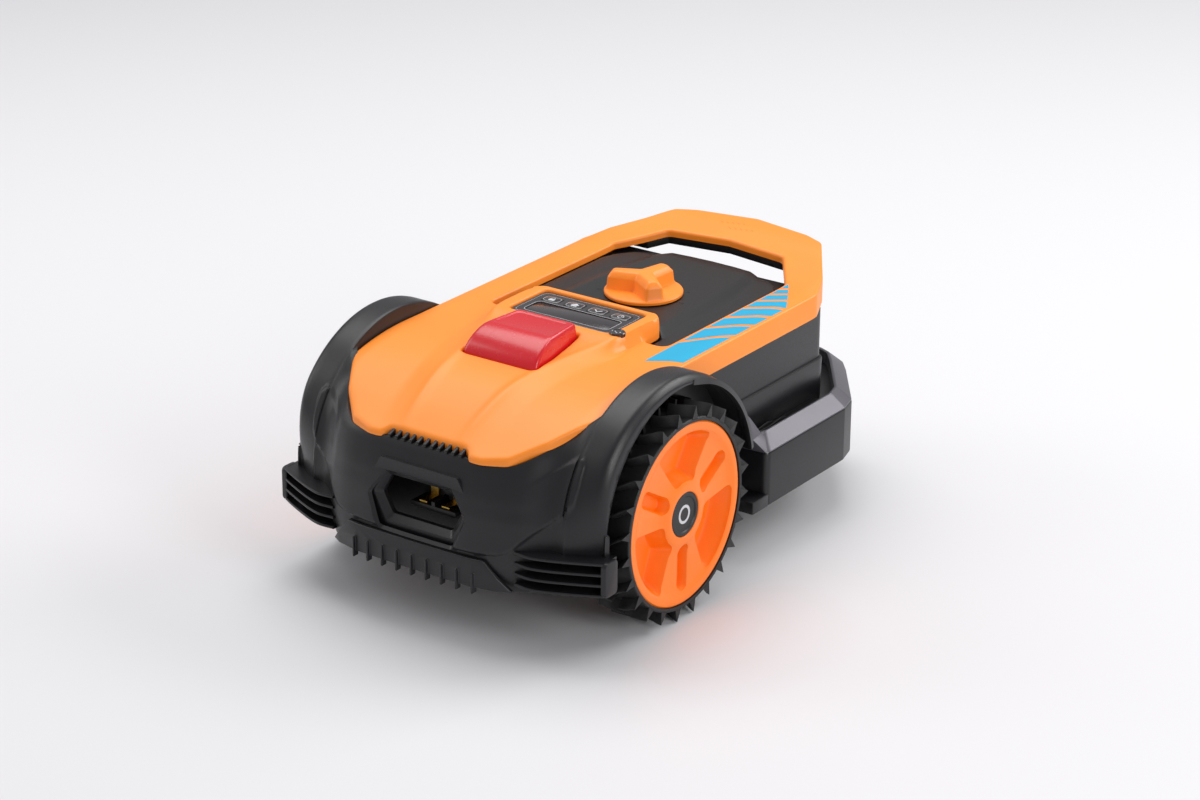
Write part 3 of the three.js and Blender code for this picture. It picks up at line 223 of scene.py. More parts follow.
def deselect() -> None:
    """Leave object mode with nothing selected."""
    if bpy.context.mode != "OBJECT":
        bpy.ops.object.mode_set(mode="OBJECT")
    bpy.ops.object.select_all(action="DESELECT")


def only(obj: bpy.types.Object) -> None:
    """Select one object and make it active."""
    deselect()
    obj.select_set(True)
    bpy.context.view_layer.objects.active = obj


def coordinates(obj: bpy.types.Object) -> np.ndarray:
    """Vertices of a piece as [x, station, z] rows in millimetres."""
    co = np.zeros(len(obj.data.vertices) * 3)
    obj.data.vertices.foreach_get("co", co)
    return to_model(co.reshape(-1, 3))


def set_coordinates(obj: bpy.types.Object, points: np.ndarray) -> None:
    """Move the vertices of a piece to [x, station, z] rows in millimetres."""
    obj.data.vertices.foreach_set("co", to_metres(points).astype(np.float32).ravel())
    obj.data.update()


def modify(obj: bpy.types.Object, kind: str, **settings: object) -> None:
    """Add one modifier with its settings and apply it."""
    only(obj)
    modifier = obj.modifiers.new(kind.title(), kind)
    for key, value in settings.items():
        setattr(modifier, key, value)
    bpy.ops.object.modifier_apply(modifier=modifier.name)


def bevel(obj: bpy.types.Object, width: float, segments: int = 3, angle: float = 30.0) -> None:
    """Round the edges of a piece that are sharper than an angle, by a width in millimetres."""
    modify(
        obj,
        "BEVEL",
        width=width * MM,
        segments=segments,
        limit_method="ANGLE",
        angle_limit=math.radians(angle),
        miter_outer="MITER_ARC",
    )


def shade(obj: bpy.types.Object, angle: float = 35.0) -> None:
    """Shade smooth, with hard edges above an angle."""
    only(obj)
    bpy.ops.object.shade_smooth_by_angle(angle=math.radians(angle))


def clean(obj: bpy.types.Object, outwards: bool = True, merge: float = 0.004) -> None:
    """Merge doubled vertices and, on a closed piece, turn its faces outwards."""
    only(obj)
    bpy.ops.object.mode_set(mode="EDIT")
    bpy.ops.mesh.select_all(action="SELECT")
    bpy.ops.mesh.remove_doubles(threshold=merge * MM)
    bpy.ops.mesh.dissolve_degenerate(threshold=merge * MM)
    if outwards:
        bpy.ops.mesh.select_all(action="SELECT")
        bpy.ops.mesh.normals_make_consistent(inside=False)
    bpy.ops.object.mode_set(mode="OBJECT")


def grid(name: str, columns: int, rows: int) -> tuple[bpy.types.Object, np.ndarray]:
    """Start a piece from a grid primitive.

    Args:
        name: piece name.
        columns: vertices in each row.
        rows: number of rows.

    Returns:
        The piece and its vertex numbers row by row.
    """
    deselect()
    bpy.ops.mesh.primitive_grid_add(x_subdivisions=columns - 1, y_subdivisions=rows - 1, size=1)
    obj = bpy.context.object
    obj.name = name
    obj.data.name = name
    co = coordinates(obj)
    return obj, np.lexsort((co[:, 0].round(3), co[:, 1].round(3)))


def lofted(
    name: str,
    rings: Sequence[Sequence[Sequence[float]]],
    closed: bool = True,
    caps: tuple[bool, bool] = (True, True),
    loop: bool = False,
    solid: bool = True,
) -> bpy.types.Object:
    """Loft a skin through rings of equal length.

    Args:
        name: piece name.
        rings: rings of [x, station, z] points.
        closed: join the last point of each ring to the first.
        caps: close the first and the last ring with a face.
        loop: join the last ring to the first, as on a frame.
        solid: the result is closed, so its faces are turned outwards.

    Returns:
        The new piece.
    """
    points = np.asarray(rings, float)
    if loop:
        points = np.concatenate([points, points[:1]])
    if closed:
        points = np.concatenate([points, points[:, :1]], 1)
    rows, columns = points.shape[:2]
    obj, order = grid(name, columns, rows)
    placed = np.zeros((rows * columns, 3))
    placed[order] = points.reshape(-1, 3)
    set_coordinates(obj, placed)
    obj.matrix_world = Matrix.Identity(4)
    if not loop:
        for number, wanted in ((0, caps[0]), (rows - 1, caps[1])):
            if wanted:
                only(obj)
                for part in (obj.data.vertices, obj.data.edges, obj.data.polygons):
                    part.foreach_set("select", [False] * len(part))
                for i in order[number * columns : (number + 1) * columns - int(closed)]:
                    obj.data.vertices[int(i)].select = True
                bpy.ops.object.mode_set(mode="EDIT")
                bpy.ops.mesh.select_mode(type="VERT")
                bpy.ops.mesh.edge_face_add()
                bpy.ops.object.mode_set(mode="OBJECT")
    clean(obj, outwards=solid)
    return obj


def upright(name: str, levels: Sequence[tuple[float, Outline]], **options: object) -> bpy.types.Object:
    """Loft a piece through outlines at rising heights."""
    return lofted(name, [[(x, y, z) for x, y in outline] for z, outline in levels], **options)


def prism(name: str, outline: Outline, low: float, high: float) -> bpy.types.Object:
    """Model an upright piece with one outline between two heights."""
    return upright(name, [(low, outline), (high, outline)])


def stacked(
    name: str, outline: Callable[[float], Outline], levels: Iterable[tuple[float, float]]
) -> bpy.types.Object:
    """Loft a piece upwards through (height, size) pairs, each size giving its outline."""
    return upright(name, [(z, outline(size)) for z, size in levels])


def rod(
    name: str, radius: float, count: int, centre: tuple[float, float], low: float, high: float
) -> bpy.types.Object:
    """Model an upright round bar between two heights."""
    return prism(name, circle(radius, count, centre), low, high)


def turned(
    name: str,
    profile: Sequence[tuple[float, float]],
    side: int = 1,
    steps: int = 96,
    centre: tuple[float, float] | None = None,
    loop: bool = True,
) -> bpy.types.Object:
    """Turn a profile about an axis parallel to X.

    Args:
        name: piece name.
        profile: (x, radius) points on the right-hand side.
        side: 1 for the right-hand piece and -1 for the left-hand one.
        steps: chords in a full turn.
        centre: (station, z) of the axis, the drive axle when left out.
        loop: the profile closes on itself; otherwise its ends meet the axis.

    Returns:
        The new piece.
    """
    station, z = centre or (0.0, AXLE_Z)
    rings = []
    for x, radius in profile:
        turn = [2 * math.pi * i / steps for i in range(steps)]
        rings.append([(side * x, station + radius * math.cos(t), z + radius * math.sin(t)) for t in turn])
    return lofted(name, rings, loop=loop, caps=(not loop, not loop))


def block(name: str, low: Sequence[float], high: Sequence[float], round_off: float = 0.8) -> bpy.types.Object:
    """Model a box from a cube primitive with rounded edges, between two corners in millimetres."""
    a, b = to_metres(np.array(low)), to_metres(np.array(high))
    deselect()
    bpy.ops.mesh.primitive_cube_add(size=1, location=tuple((a + b) / 2), scale=tuple(b - a))
    obj = bpy.context.object
    obj.name = name
    bpy.ops.object.transform_apply(location=True, rotation=True, scale=True)
    if round_off > 0:
        bevel(obj, round_off, 2)
    return obj


def boolean(obj: bpy.types.Object, tool: bpy.types.Object, operation: str = "DIFFERENCE") -> None:
    """Combine a piece with a tool solid, and remove the tool."""
    modify(obj, "BOOLEAN", object=tool, operation=operation, solver="EXACT")
    bpy.data.objects.remove(tool, do_unlink=True)


def joined(name: str, parts: Iterable[bpy.types.Object]) -> bpy.types.Object:
    """Join separate bodies into one piece."""
    parts = list(parts)
    only(parts[0])
    for part in parts[1:]:
        part.select_set(True)
    if len(parts) > 1:
        bpy.ops.object.join()
    parts[0].name = name
    parts[0].data.name = name
    return parts[0]


def softened(node: str, width: float, segments: int = 2, angle: float = 30.0) -> bpy.types.Object:
    """Copy a CAD node's shape, merge its loose triangles and round its edges.

    Args:
        node: CAD node name.
        width: rounding in millimetres.
        segments: chords across each rounded edge.
        angle: only edges sharper than this are rounded.

    Returns:
        The new piece.
    """
    mesh = frame["nodes"][node].data.copy()
    mesh.materials.clear()
    obj = bpy.data.objects.new(f"{node}_moulded", mesh)
    bpy.context.scene.collection.objects.link(obj)
    only(obj)
    bpy.ops.mesh.customdata_custom_splitnormals_clear()
    bpy.ops.object.mode_set(mode="EDIT")
    bpy.ops.mesh.select_all(action="SELECT")
    bpy.ops.mesh.remove_doubles(threshold=0.01 * MM)
    bpy.ops.mesh.dissolve_limited(angle_limit=math.radians(1.0))
    bpy.ops.object.mode_set(mode="OBJECT")
    bevel(obj, width, segments, angle)
    shade(obj)
    return obj


# ------------------------------------------------------------------ finishes


def linear(colour: str) -> tuple[float, float, float, float]:
    """Turn an sRGB hex colour into linear RGBA."""
    channels = [int(colour[i : i + 2], 16) / 255 for i in (1, 3, 5)]
    r, g, b = (c / 12.92 if c <= 0.04045 else ((c + 0.055) / 1.055) ** 2.4 for c in channels)
    return r, g, b, 1.0


def add_node(
    tree: bpy.types.NodeTree,
    kind: str,
    inputs: dict[str | int, object] | None = None,
    **settings: object,
) -> bpy.types.Node:
    """Add one shader node with its settings and links.

    Args:
        tree: node tree to add to.
        kind: node type name.
        inputs: values or output sockets by input name or number.
        settings: node properties.

    Returns:
        The new node.
    """
    made = tree.nodes.new(kind)
    for key, value in settings.items():
        setattr(made, key, value)
    for key, value in (inputs or {}).items():
        if isinstance(value, bpy.types.NodeSocket):
            tree.links.new(value, made.inputs[key])
        else:
            made.inputs[key].default_value = value
    return made


class Surface(Enum):
    """How a surface was made, which sets its fine relief."""

    MOULDED = "spark-eroded mould texture"
    POLISHED = "polished mould"
    BRUSHED = "drawn or brushed metal"
    WOVEN = "glass-cloth laminate"


@dataclass(frozen=True)
class Finish:
    """One real material and the way its surface was made."""

    name: str
    colour: str
    shade: str
    roughness: float
    surface: Surface
    grain: float = 0.7
    relief: float = 0.03
    ior: float = 1.5
    metallic: float = 0.0
    coat: float = 0.0
    mottle: float = 60.0
    spread: float = 0.06

    def material(self) -> bpy.types.Material:
        """Build the material once and hand it out again afterwards.

        Returns:
            The finished material.
        """
        known = bpy.data.materials.get(self.name)
        if known:
            return known
        material = bpy.data.materials.new(self.name)
        material.use_nodes = True
        tree = material.node_tree
        shader = tree.nodes["Principled BSDF"]
        place = add_node(tree, "ShaderNodeTexCoord").outputs["Object"]
        stretch = (1.0, 0.04, 1.0) if self.surface is Surface.BRUSHED else (1.0, 1.0, 1.0)
        mapped = add_node(tree, "ShaderNodeMapping", {"Vector": place, "Scale": stretch}).outputs["Vector"]
        broad = add_node(
            tree, "ShaderNodeTexNoise", {"Vector": place, "Scale": 1 / (self.mottle * MM), "Detail": 3.0}
        ).outputs["Fac"]
        fine = add_node(
            tree,
            "ShaderNodeTexNoise",
            {"Vector": mapped, "Scale": 1 / (self.grain * MM), "Detail": 2.0, "Roughness": 0.6},
        ).outputs["Fac"]
        blend = add_node(
            tree, "ShaderNodeMapRange", {"Value": broad, "From Min": 0.3, "From Max": 0.7}
        ).outputs["Result"]
        speck = add_node(tree, "ShaderNodeMath", {0: blend, 1: fine, 2: -0.1}, operation="MULTIPLY_ADD")
        colour = add_node(tree, "ShaderNodeMix", {"Factor": speck.outputs["Value"]}, data_type="RGBA")
        ends = [socket for socket in colour.inputs if socket.type == "RGBA"]
        ends[0].default_value, ends[1].default_value = linear(self.colour), linear(self.shade)
        mixed = next(socket for socket in colour.outputs if socket.type == "RGBA")
        tree.links.new(mixed, shader.inputs["Base Color"])
        rough = add_node(
            tree,
            "ShaderNodeMapRange",
            {
                "Value": fine,
                "From Min": 0.3,
                "From Max": 0.7,
                "To Min": self.roughness - self.spread,
                "To Max": self.roughness + self.spread,
            },
        )
        tree.links.new(rough.outputs["Result"], shader.inputs["Roughness"])
        relief = fine
        if self.surface is Surface.WOVEN:
            relief = add_node(
                tree, "ShaderNodeTexWave", {"Vector": place, "Scale": 0.3 / (self.grain * MM)}
            ).outputs["Fac"]
        strength = 0.06 if self.surface is Surface.POLISHED else 0.35
        depth = self.relief * MM
        bump = add_node(tree, "ShaderNodeBump", {"Height": relief, "Strength": strength, "Distance": depth})
        tree.links.new(bump.outputs["Normal"], shader.inputs["Normal"])
        shader.inputs["Metallic"].default_value = self.metallic
        if self.metallic == 0:
            shader.inputs["IOR"].default_value = self.ior
        if self.coat:
            shader.inputs["Coat Weight"].default_value = self.coat
            shader.inputs["Coat Roughness"].default_value = 0.08  # the same on every coated part
        return material


# ASA with a satin spark-eroded face: bright, even orange with a soft broad sheen.
ORANGE_ASA = Finish("orange_asa_satin", "#FF9024", "#FB881D", 0.42, Surface.MOULDED, 0.9, 0.05, 1.52, spread=0.05)
# Glass-filled nylon of the rims: redder and a little glossier. The handle's grip grooves reuse it as painted shade.
RIM_NYLON_AND_GROOVE_SHADE = Finish("rim_nylon_orange_and_groove_shade", "#FF7C00", "#F77300", 0.38, Surface.MOULDED, 1.1, 0.04, 1.53)
# Charcoal polypropylene with a coarse texture that catches light as a fine grey haze.
CHARCOAL_PP = Finish("charcoal_pp_textured", "#151417", "#100F12", 0.38, Surface.MOULDED, 0.8, 0.09, 1.49, spread=0.08)
# Plain black polypropylene of the deck, grille and lining.
BLACK_PP = Finish("black_pp_fine", "#0F0E10", "#0B0A0C", 0.42, Surface.MOULDED, 0.7, 0.06, 1.49, spread=0.07)
# Bevels moulded with a smoother face, which read as mid grey under a soft light.
GREY_TRIM = Finish("grey_pp_pearl", "#5C5A60", "#535157", 0.36, Surface.MOULDED, 0.6, 0.06, 1.5, metallic=0.35)
# Polished polycarbonate of the control panel.
PANEL_PC = Finish("black_pc_polished", "#1B1315", "#150E10", 0.12, Surface.POLISHED, 2.0, 0.02, 1.585, coat=0.5)
WINDOW_PC = Finish("smoked_pc_window", "#2B2629", "#231E21", 0.2, Surface.POLISHED, 2.0, 0.02, 1.585, coat=0.3)
# Glossy ABS of the stop button.
STOP_ABS = Finish(
    "red_abs_gloss", "#CC0A1C", "#C40819", 0.26, Surface.POLISHED, 6.0, 0.01, 1.54, coat=0.15, spread=0.02
)
# Screen-printed white ink on the panel and the cap.
WHITE_INK = Finish("white_print", "#C9C9CD", "#BEBEC3", 0.5, Surface.POLISHED, 0.6, 0.01, 1.5)
# Blue vinyl film with a satin face.
BLUE_VINYL = Finish("blue_vinyl_film", "#00A6D0", "#009FC8", 0.36, Surface.POLISHED, 0.8, 0.02, 1.5)
# Natural rubber compound, matt with a grey bloom on its edges.
TYRE_RUBBER = Finish("tyre_rubber_matt", "#141416", "#0F0F11", 0.55, Surface.MOULDED, 1.2, 0.12, 1.52, spread=0.12)
STEEL = Finish("steel_turned", "#B9BCC0", "#A7AAAE", 0.3, Surface.BRUSHED, 0.5, 0.02, metallic=1.0)
BRASS = Finish("brass_contact", "#C9A552", "#B8954A", 0.32, Surface.BRUSHED, 0.5, 0.02, metallic=1.0)
BOARD = Finish("fr4_green", "#1F6B45", "#1A5E3C", 0.5, Surface.WOVEN, 0.6, 0.03, 1.55)
CELL_WRAP = Finish("pvc_wrap_blue", "#2A4D86", "#24447A", 0.35, Surface.POLISHED, 1.2, 0.03, 1.53)
# Dark print of the cutting-height scale.
SCALE_INK = Finish("scale_print_grey", "#141215", "#18161A", 0.6, Surface.POLISHED, 0.6, 0.01, 1.5)

SLOT_FINISH = {
    "orange_shell": ORANGE_ASA,
    "rim_orange": RIM_NYLON_AND_GROOVE_SHADE,
    "charcoal_shell": CHARCOAL_PP,
    "black_plastic": BLACK_PP,
    "trim_grey": GREY_TRIM,
    "gloss_black": PANEL_PC,
    "stop_red": STOP_ABS,
    "tyre_rubber": TYRE_RUBBER,
    "steel": STEEL,
    "contact_brass": BRASS,
    "circuit_green": BOARD,
    "battery_blue": CELL_WRAP,
}


def install(obj: bpy.types.Object, body: str, slot: str, *nodes: str, finish: Finish | None = None) -> None:
    """Dress a piece, fix it to its body and log it.

    Args:
        obj: finished piece.
        body: CAD body that it moves with.
        slot: material slot of the record.
        nodes: CAD nodes that it stands for.
        finish: finish, the slot's own when left out.
    """
    obj.data.materials.clear()
    obj.data.materials.append((finish or SLOT_FINISH[slot]).material())
    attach(obj, body)
    if nodes:
        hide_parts(*nodes)
    LOG.info("%s rides on %s, %d faces", obj.name, body, len(obj.data.polygons))


def dress(node: str, body: str, slot: str, width: float, segments: int = 2) -> None:
    """Put a copy of a CAD node with rounded edges in the node's place."""
    install(softened(node, width, segments), body, slot, node)


# ------------------------------------------------------------------ hood


@dataclass
class Skin:
    """A cover seen from above: a top face over an outline with openings, whose edges roll over into walls.

    Attributes:
        name: piece name.
        outer: outline of the cover.
        openings: outlines of the openings in it.
        top: height of the top face at x and station.
        bottom: height of the wall's lower edge at x and station.
        roll: radius of the rolled edge.
        pitch: spacing of the top face's mesh.
        wall: thickness of the moulding.
    """

    name: str
    outer: Outline
    openings: Sequence[Outline]
    top: Callable[[np.ndarray, np.ndarray], np.ndarray]
    bottom: Callable[[np.ndarray, np.ndarray], np.ndarray]
    roll: float
    pitch: float
    wall: float = 2.6

    def depth(self, points: np.ndarray) -> tuple[np.ndarray, np.ndarray]:
        """Find how far points lie inside the cover, and their nearest edge points."""
        best, near = nearest_on(points, self.outer)
        for opening in self.openings:
            inside, foot = nearest_on(points, opening)
            closer = -inside < best
            best = np.where(closer, -inside, best)
            near = np.where(closer[:, None], foot, near)
        return best, near

    def build(self) -> bpy.types.Object:
        """Model the cover.

        Returns:
            The closed, shaded piece.
        """
        edge = np.asarray(self.outer, float)
        low, high = edge.min(0), edge.max(0)
        columns, rows = (int(n) + 2 for n in np.ceil((high - low) / self.pitch))
        obj, order = grid(self.name, columns, rows)
        xs, ys = np.meshgrid(np.linspace(low[0], high[0], columns), np.linspace(low[1], high[1], rows))
        flat = np.zeros((rows * columns, 3))
        flat[order] = np.stack([xs.ravel(), ys.ravel(), np.zeros(xs.size)], 1)
        obj.matrix_world = Matrix.Identity(4)
        set_coordinates(obj, flat)
        self.trim(obj)
        plan = coordinates(obj)
        plan[:, 2] = self.top(plan[:, 0], plan[:, 1])
        set_coordinates(obj, plan)
        steps = 5
        for step in range(1, steps + 1):
            angle = 0.5 * math.pi * step / steps
            self.extend(obj, self.roll * (1 - math.sin(angle)), self.roll * (1 - math.cos(angle)))
        self.extend(obj, 0.0, None)
        clean(obj, outwards=False)
        modify(obj, "SOLIDIFY", thickness=self.wall * MM, offset=-1.0, use_even_offset=False)
        shade(obj, 50)
        return obj

    def trim(self, obj: bpy.types.Object) -> None:
        """Delete the mesh outside the cover and draw its edge onto the roll's inner line."""
        mesh = bmesh.new()
        mesh.from_mesh(obj.data)
        centres = np.array([f.calc_center_median() for f in mesh.faces])
        inside, _ = self.depth(to_model(centres)[:, :2])
        doomed = [f for f, d in zip(mesh.faces, inside, strict=True) if d < self.roll]
        bmesh.ops.delete(mesh, geom=doomed, context="FACES")
        while True:
            thin = [v for v in mesh.verts if v.is_boundary and len(v.link_faces) == 1 and len(v.link_edges) < 2]
            if not thin:
                break
            bmesh.ops.delete(mesh, geom=thin, context="VERTS")
        rim = [v for v in mesh.verts if v.is_boundary]
        at = to_model(np.array([v.co for v in rim]))[:, :2]
        for _ in range(3):
            deep, foot = self.depth(at)
            away = (at - foot) * np.sign(deep)[:, None]
            away /= np.maximum(np.linalg.norm(away, axis=1, keepdims=True), 1e-6)
            at = foot + away * self.roll
        for v, p in zip(rim, to_metres(np.c_[at, np.zeros(len(at))]), strict=True):
            v.co = Vector(p)
        for v in mesh.verts:
            v.select = False
        mesh.to_mesh(obj.data)
        mesh.free()

    def extend(self, obj: bpy.types.Object, depth: float, drop: float | None) -> None:
        """Extrude the open edge to a depth from the outline.

        Args:
            obj: the cover being modelled.
            depth: distance from the outline of the new edge.
            drop: how far the new edge lies below the top, or None for the wall's lower edge.
        """
        only(obj)
        bpy.ops.object.mode_set(mode="EDIT")
        bpy.ops.mesh.select_mode(type="EDGE")
        bpy.ops.mesh.select_all(action="DESELECT")
        bpy.ops.mesh.select_non_manifold(
            extend=False, use_wire=False, use_boundary=True, use_multi_face=False, use_non_contiguous=False,
            use_verts=False,
        )
        bpy.ops.mesh.extrude_edges_move()
        bpy.ops.object.mode_set(mode="OBJECT")
        chosen = np.zeros(len(obj.data.vertices), bool)
        obj.data.vertices.foreach_get("select", chosen)
        points = coordinates(obj)
        at = points[chosen, :2]
        _, foot = self.depth(at)
        away = at - foot
        length = np.maximum(np.linalg.norm(away, axis=1, keepdims=True), 1e-6)
        moved = foot + away / length * depth if depth > 0 else foot
        top = self.top(moved[:, 0], moved[:, 1])
        level = self.bottom(moved[:, 0], moved[:, 1]) if drop is None else top - drop
        points[chosen] = np.c_[moved, np.minimum(level, points[chosen, 2])]
        set_coordinates(obj, points)


@dataclass
class Hood:
    """Orange top cover with its rails, bezel and carrying handle, and the pieces set in it."""

    half_width: float = 132.0
    skirt: float = 23.0
    well_half_width: float = 96.0
    bezel_half_width: float = 72.0
    bezel_rear: float = 124.0
    stop_front: float = -34.0
    stop_rear: float = 40.0
    stop_half: tuple[float, float] = (40.0, 32.0)
    panel_half_width: float = 56.0
    panel_front: float = 54.0
    panel_rear: float = 112.0
    panel_top: float = 218.5
    window_half_width: float = 45.0
    window_depth: float = 23.0
    window_margin: float = 10.0
    key_pitch: float = 25.0
    key_setback: float = 15.0
    key_half: tuple[float, float] = (9.6, 6.2)
    badge: tuple[float, float] = (61.5, 57.0)
    groove_shade_half: float = 0.55
    film_lift: float = 0.14
    film_steps: int = 9

    def outline(self) -> Outline:
        """Outline of the whole cover with its front notch."""
        half = [
            (0.0, -131.8),
            (41.5, -131.8),
            (47.0, -139.5),
            (60.0, -139.3),
            (83.0, -132.0),
            (108.0, -107.0),
            (self.half_width, -70.0),
            (self.half_width, 275.0),
            (120.0, 304.0),
            (83.0, 361.0),
            (62.0, 370.0),
            (0.0, 381.0),
        ]
        return rounded(symmetric(half), 9.0, 5)

    def well(self) -> Outline:
        """Opening for the deck cover and the hand."""
        half = [
            (0.0, self.bezel_rear),
            (self.bezel_half_width - 15, self.bezel_rear),
            (self.bezel_half_width, self.bezel_rear - 16),
            (self.bezel_half_width, 80.0),
            (self.well_half_width, 80.0),
            (self.well_half_width, 277.0),
            (64.0, 323.0),
            (0.0, 330.0),
        ]
        return rounded(symmetric(half), 9.0, 5)

    def stop_outline(self, grow: float = 0.0) -> Outline:
        """Plan of the stop button's foot."""
        wide, narrow = self.stop_half
        front, rear = self.stop_front, self.stop_rear
        corners = [(narrow, rear), (-narrow, rear), (-wide, front), (wide, front)]
        return rounded(grown(corners, grow), 3.0, 4)

    def panel_outline(self, grow: float = 0.0) -> Outline:
        """Plan of the control panel."""
        plan = rectangle(self.panel_half_width, self.panel_front, self.panel_rear)
        return rounded(grown(plan, grow), 8.0, 5)

    def top(self, x: np.ndarray, s: np.ndarray) -> np.ndarray:
        """Height of the cover's top face."""
        rail = eased(
            s,
            [(-140, 168), (-131, 172.5), (-100, 188), (-70, 199.5), (-40, 206), (0, 209), (262, 209), (330, 217.5),
             (360, 223.5), (382, 224.5)],
        )
        middle = eased(
            s,
            [(-140, 168), (-131, 173.5), (-100, 191), (-70, 203.5), (-34, 210), (0, 213), (34, 217), (50, 221),
             (114, 221), (121, 219), (128, 212)],
        )
        half = eased(s, [(-140, 43), (-34, 56), (10, 64), (50, 70), (128, 70)])
        soft = eased(s, [(-140, 14), (-34, 14), (30, 10), (50, 4), (128, 3.5)])
        across = np.abs(x)
        share = 1 - smooth_step((across - half + soft) / (2 * soft))
        share = np.where(s < 129, share, 0.0)
        ridge = eased(s, [(-140, 0.0), (-110, 1.2), (-40, 1.6), (30, 0.8), (50, 0.0), (400, 0.0)])
        crease = ridge * np.exp(-(((across - half + soft) / 5.0) ** 2))
        crown = -1.6 * smooth_step((across - 118) / 14)
        return rail + share * np.maximum(middle - rail, 0) + crease + crown

    def lower_edge(self, x: np.ndarray, s: np.ndarray) -> np.ndarray:
        """Height of the skirt's lower edge."""
        rail = self.top(np.full_like(s, 125.0), s)
        drop = eased(s, [(-140, 4.2), (-125, 8), (-70, 8), (34, 8), (58, self.skirt), (400, self.skirt)])
        outer = rail - drop
        inner = np.maximum(self.top(x, s) - 7.0, outer)
        return np.where(self.is_inner(x, s), inner, outer)

    def is_inner(self, x: np.ndarray, s: np.ndarray) -> np.ndarray:
        """Tell the edges of the openings from the outer edge."""
        deep, _ = nearest_on(np.stack([x, s], 1), self.outline())
        return deep > 1.0

    def shell(self) -> None:
        """Model the cover itself."""
        cover = Skin(
            "hood_cover",
            self.outline(),
            [self.well(), self.stop_outline(0.9), self.panel_outline(0.4)],
            self.top,
            self.lower_edge,
            roll=2.6,
            pitch=2.4,
        )
        install(cover.build(), "chassis", "orange_shell", "hood")

    def painted_groove_shade(self) -> None:
        """Model the short slanted grip marks on the handle's top as thin inlays in the darker rim orange, painted
        shade for the hollows of the grooves.
        """
        strips = []
        run = np.array([17.0, -9.5])
        across = np.array([9.5, 17.0]) / 19.5 * self.groove_shade_half
        for i in range(5):
            start = np.array([-27.0 + 5.6 * i, 357.0 + 1.0 * i])
            end = start + run
            corners = [start - across, end - across, end + across, start + across]
            rings = []
            for lift in (-0.5, 0.06):
                z = self.top(np.array([p[0] for p in corners]), np.array([p[1] for p in corners])) + lift
                rings.append([(p[0], p[1], h) for p, h in zip(corners, z, strict=True)])
            strips.append(lofted(f"groove_{i}", rings))
        piece = joined("handle_groove_painted_shade", strips)
        shade(piece)
        # The darker rim orange on these strips is painted shade standing in for the shade inside the grip grooves.
        install(piece, "chassis", "orange_shell", finish=RIM_NYLON_AND_GROOVE_SHADE)

    def decal(self) -> None:
        """Model the slanted bars of blue film on the right-hand rail."""
        bars = [
            ((101.0, 42.0), (128.6, 61.0), (128.6, 137.0), (100.4, 95.0)),
            ((100.4, 102.5), (128.6, 144.0), (128.6, 169.0), (100.0, 137.5)),
            ((100.0, 144.0), (128.6, 175.5), (128.6, 197.0), (99.6, 169.5)),
            ((99.6, 176.0), (128.6, 203.0), (128.6, 222.0), (99.4, 199.5)),
            ((99.4, 206.0), (128.4, 228.0), (121.6, 240.0), (99.4, 223.0)),
            ((99.4, 229.0), (119.4, 244.0), (113.6, 254.0), (99.2, 243.0)),
            ((99.2, 249.0), (111.2, 258.0), (106.4, 266.0), (99.2, 260.0)),
            ((99.2, 266.0), (104.4, 269.6), (100.4, 276.0), (99.2, 275.0)),
        ]
        films = []
        for number, (near, far, far_end, near_end) in enumerate(bars):
            rings = []
            for t in np.linspace(0, 1, self.film_steps):
                a = (1 - t) * np.array(near) + t * np.array(far)
                b = (1 - t) * np.array(near_end) + t * np.array(far_end)
                row = np.array([(1 - u) * a + u * b for u in np.linspace(0, 1, self.film_steps)])
                rings.append(np.c_[row, self.top(row[:, 0], row[:, 1]) + self.film_lift])
            film = lofted(f"film_{number}", rings, closed=False, caps=(False, False), solid=False)
            modify(film, "SOLIDIFY", thickness=0.12 * MM, offset=0.0)
            films.append(film)
        piece = joined("rail_film", films)
        shade(piece)
        install(piece, "chassis", "orange_shell", finish=BLUE_VINYL)

    def button(self) -> None:
        """Model the stop button with its raised border."""
        levels = [
            (196.0, -34.0, 40.0, 40.0, 32.0),
            (209.0, -34.0, 40.0, 40.0, 32.0),
            (212.5, -32.8, 40.0, 39.6, 31.8),
            (217.5, -29.0, 39.6, 39.0, 31.6),
            (222.5, -23.0, 39.2, 38.0, 31.3),
            (226.5, -16.0, 38.4, 36.8, 31.0),
            (228.8, -10.0, 37.4, 35.6, 30.5),
            (229.7, -6.0, 36.0, 34.2, 29.8),
            (230.0, -3.0, 34.6, 33.0, 29.0),
            (229.9, -0.6, 33.0, 31.4, 27.6),
            (229.2, 0.6, 31.8, 30.2, 26.6),
            (228.9, 2.0, 30.6, 29.0, 25.6),
        ]
        rings = [
            (z, rounded([(wide, front), (narrow, rear), (-narrow, rear), (-wide, front)], 4.0, 5))
            for z, front, rear, wide, narrow in levels
        ]
        piece = upright("stop_cap_moulded", rings)
        room = rounded([(37, -31), (29.5, 37), (-29.5, 37), (-37, -31)], 3.0, 5)
        boolean(piece, prism("stop_hollow", room, 190.0, 206.0))
        shade(piece, 40)
        install(piece, "stop_cap", "stop_red", "stop_button")

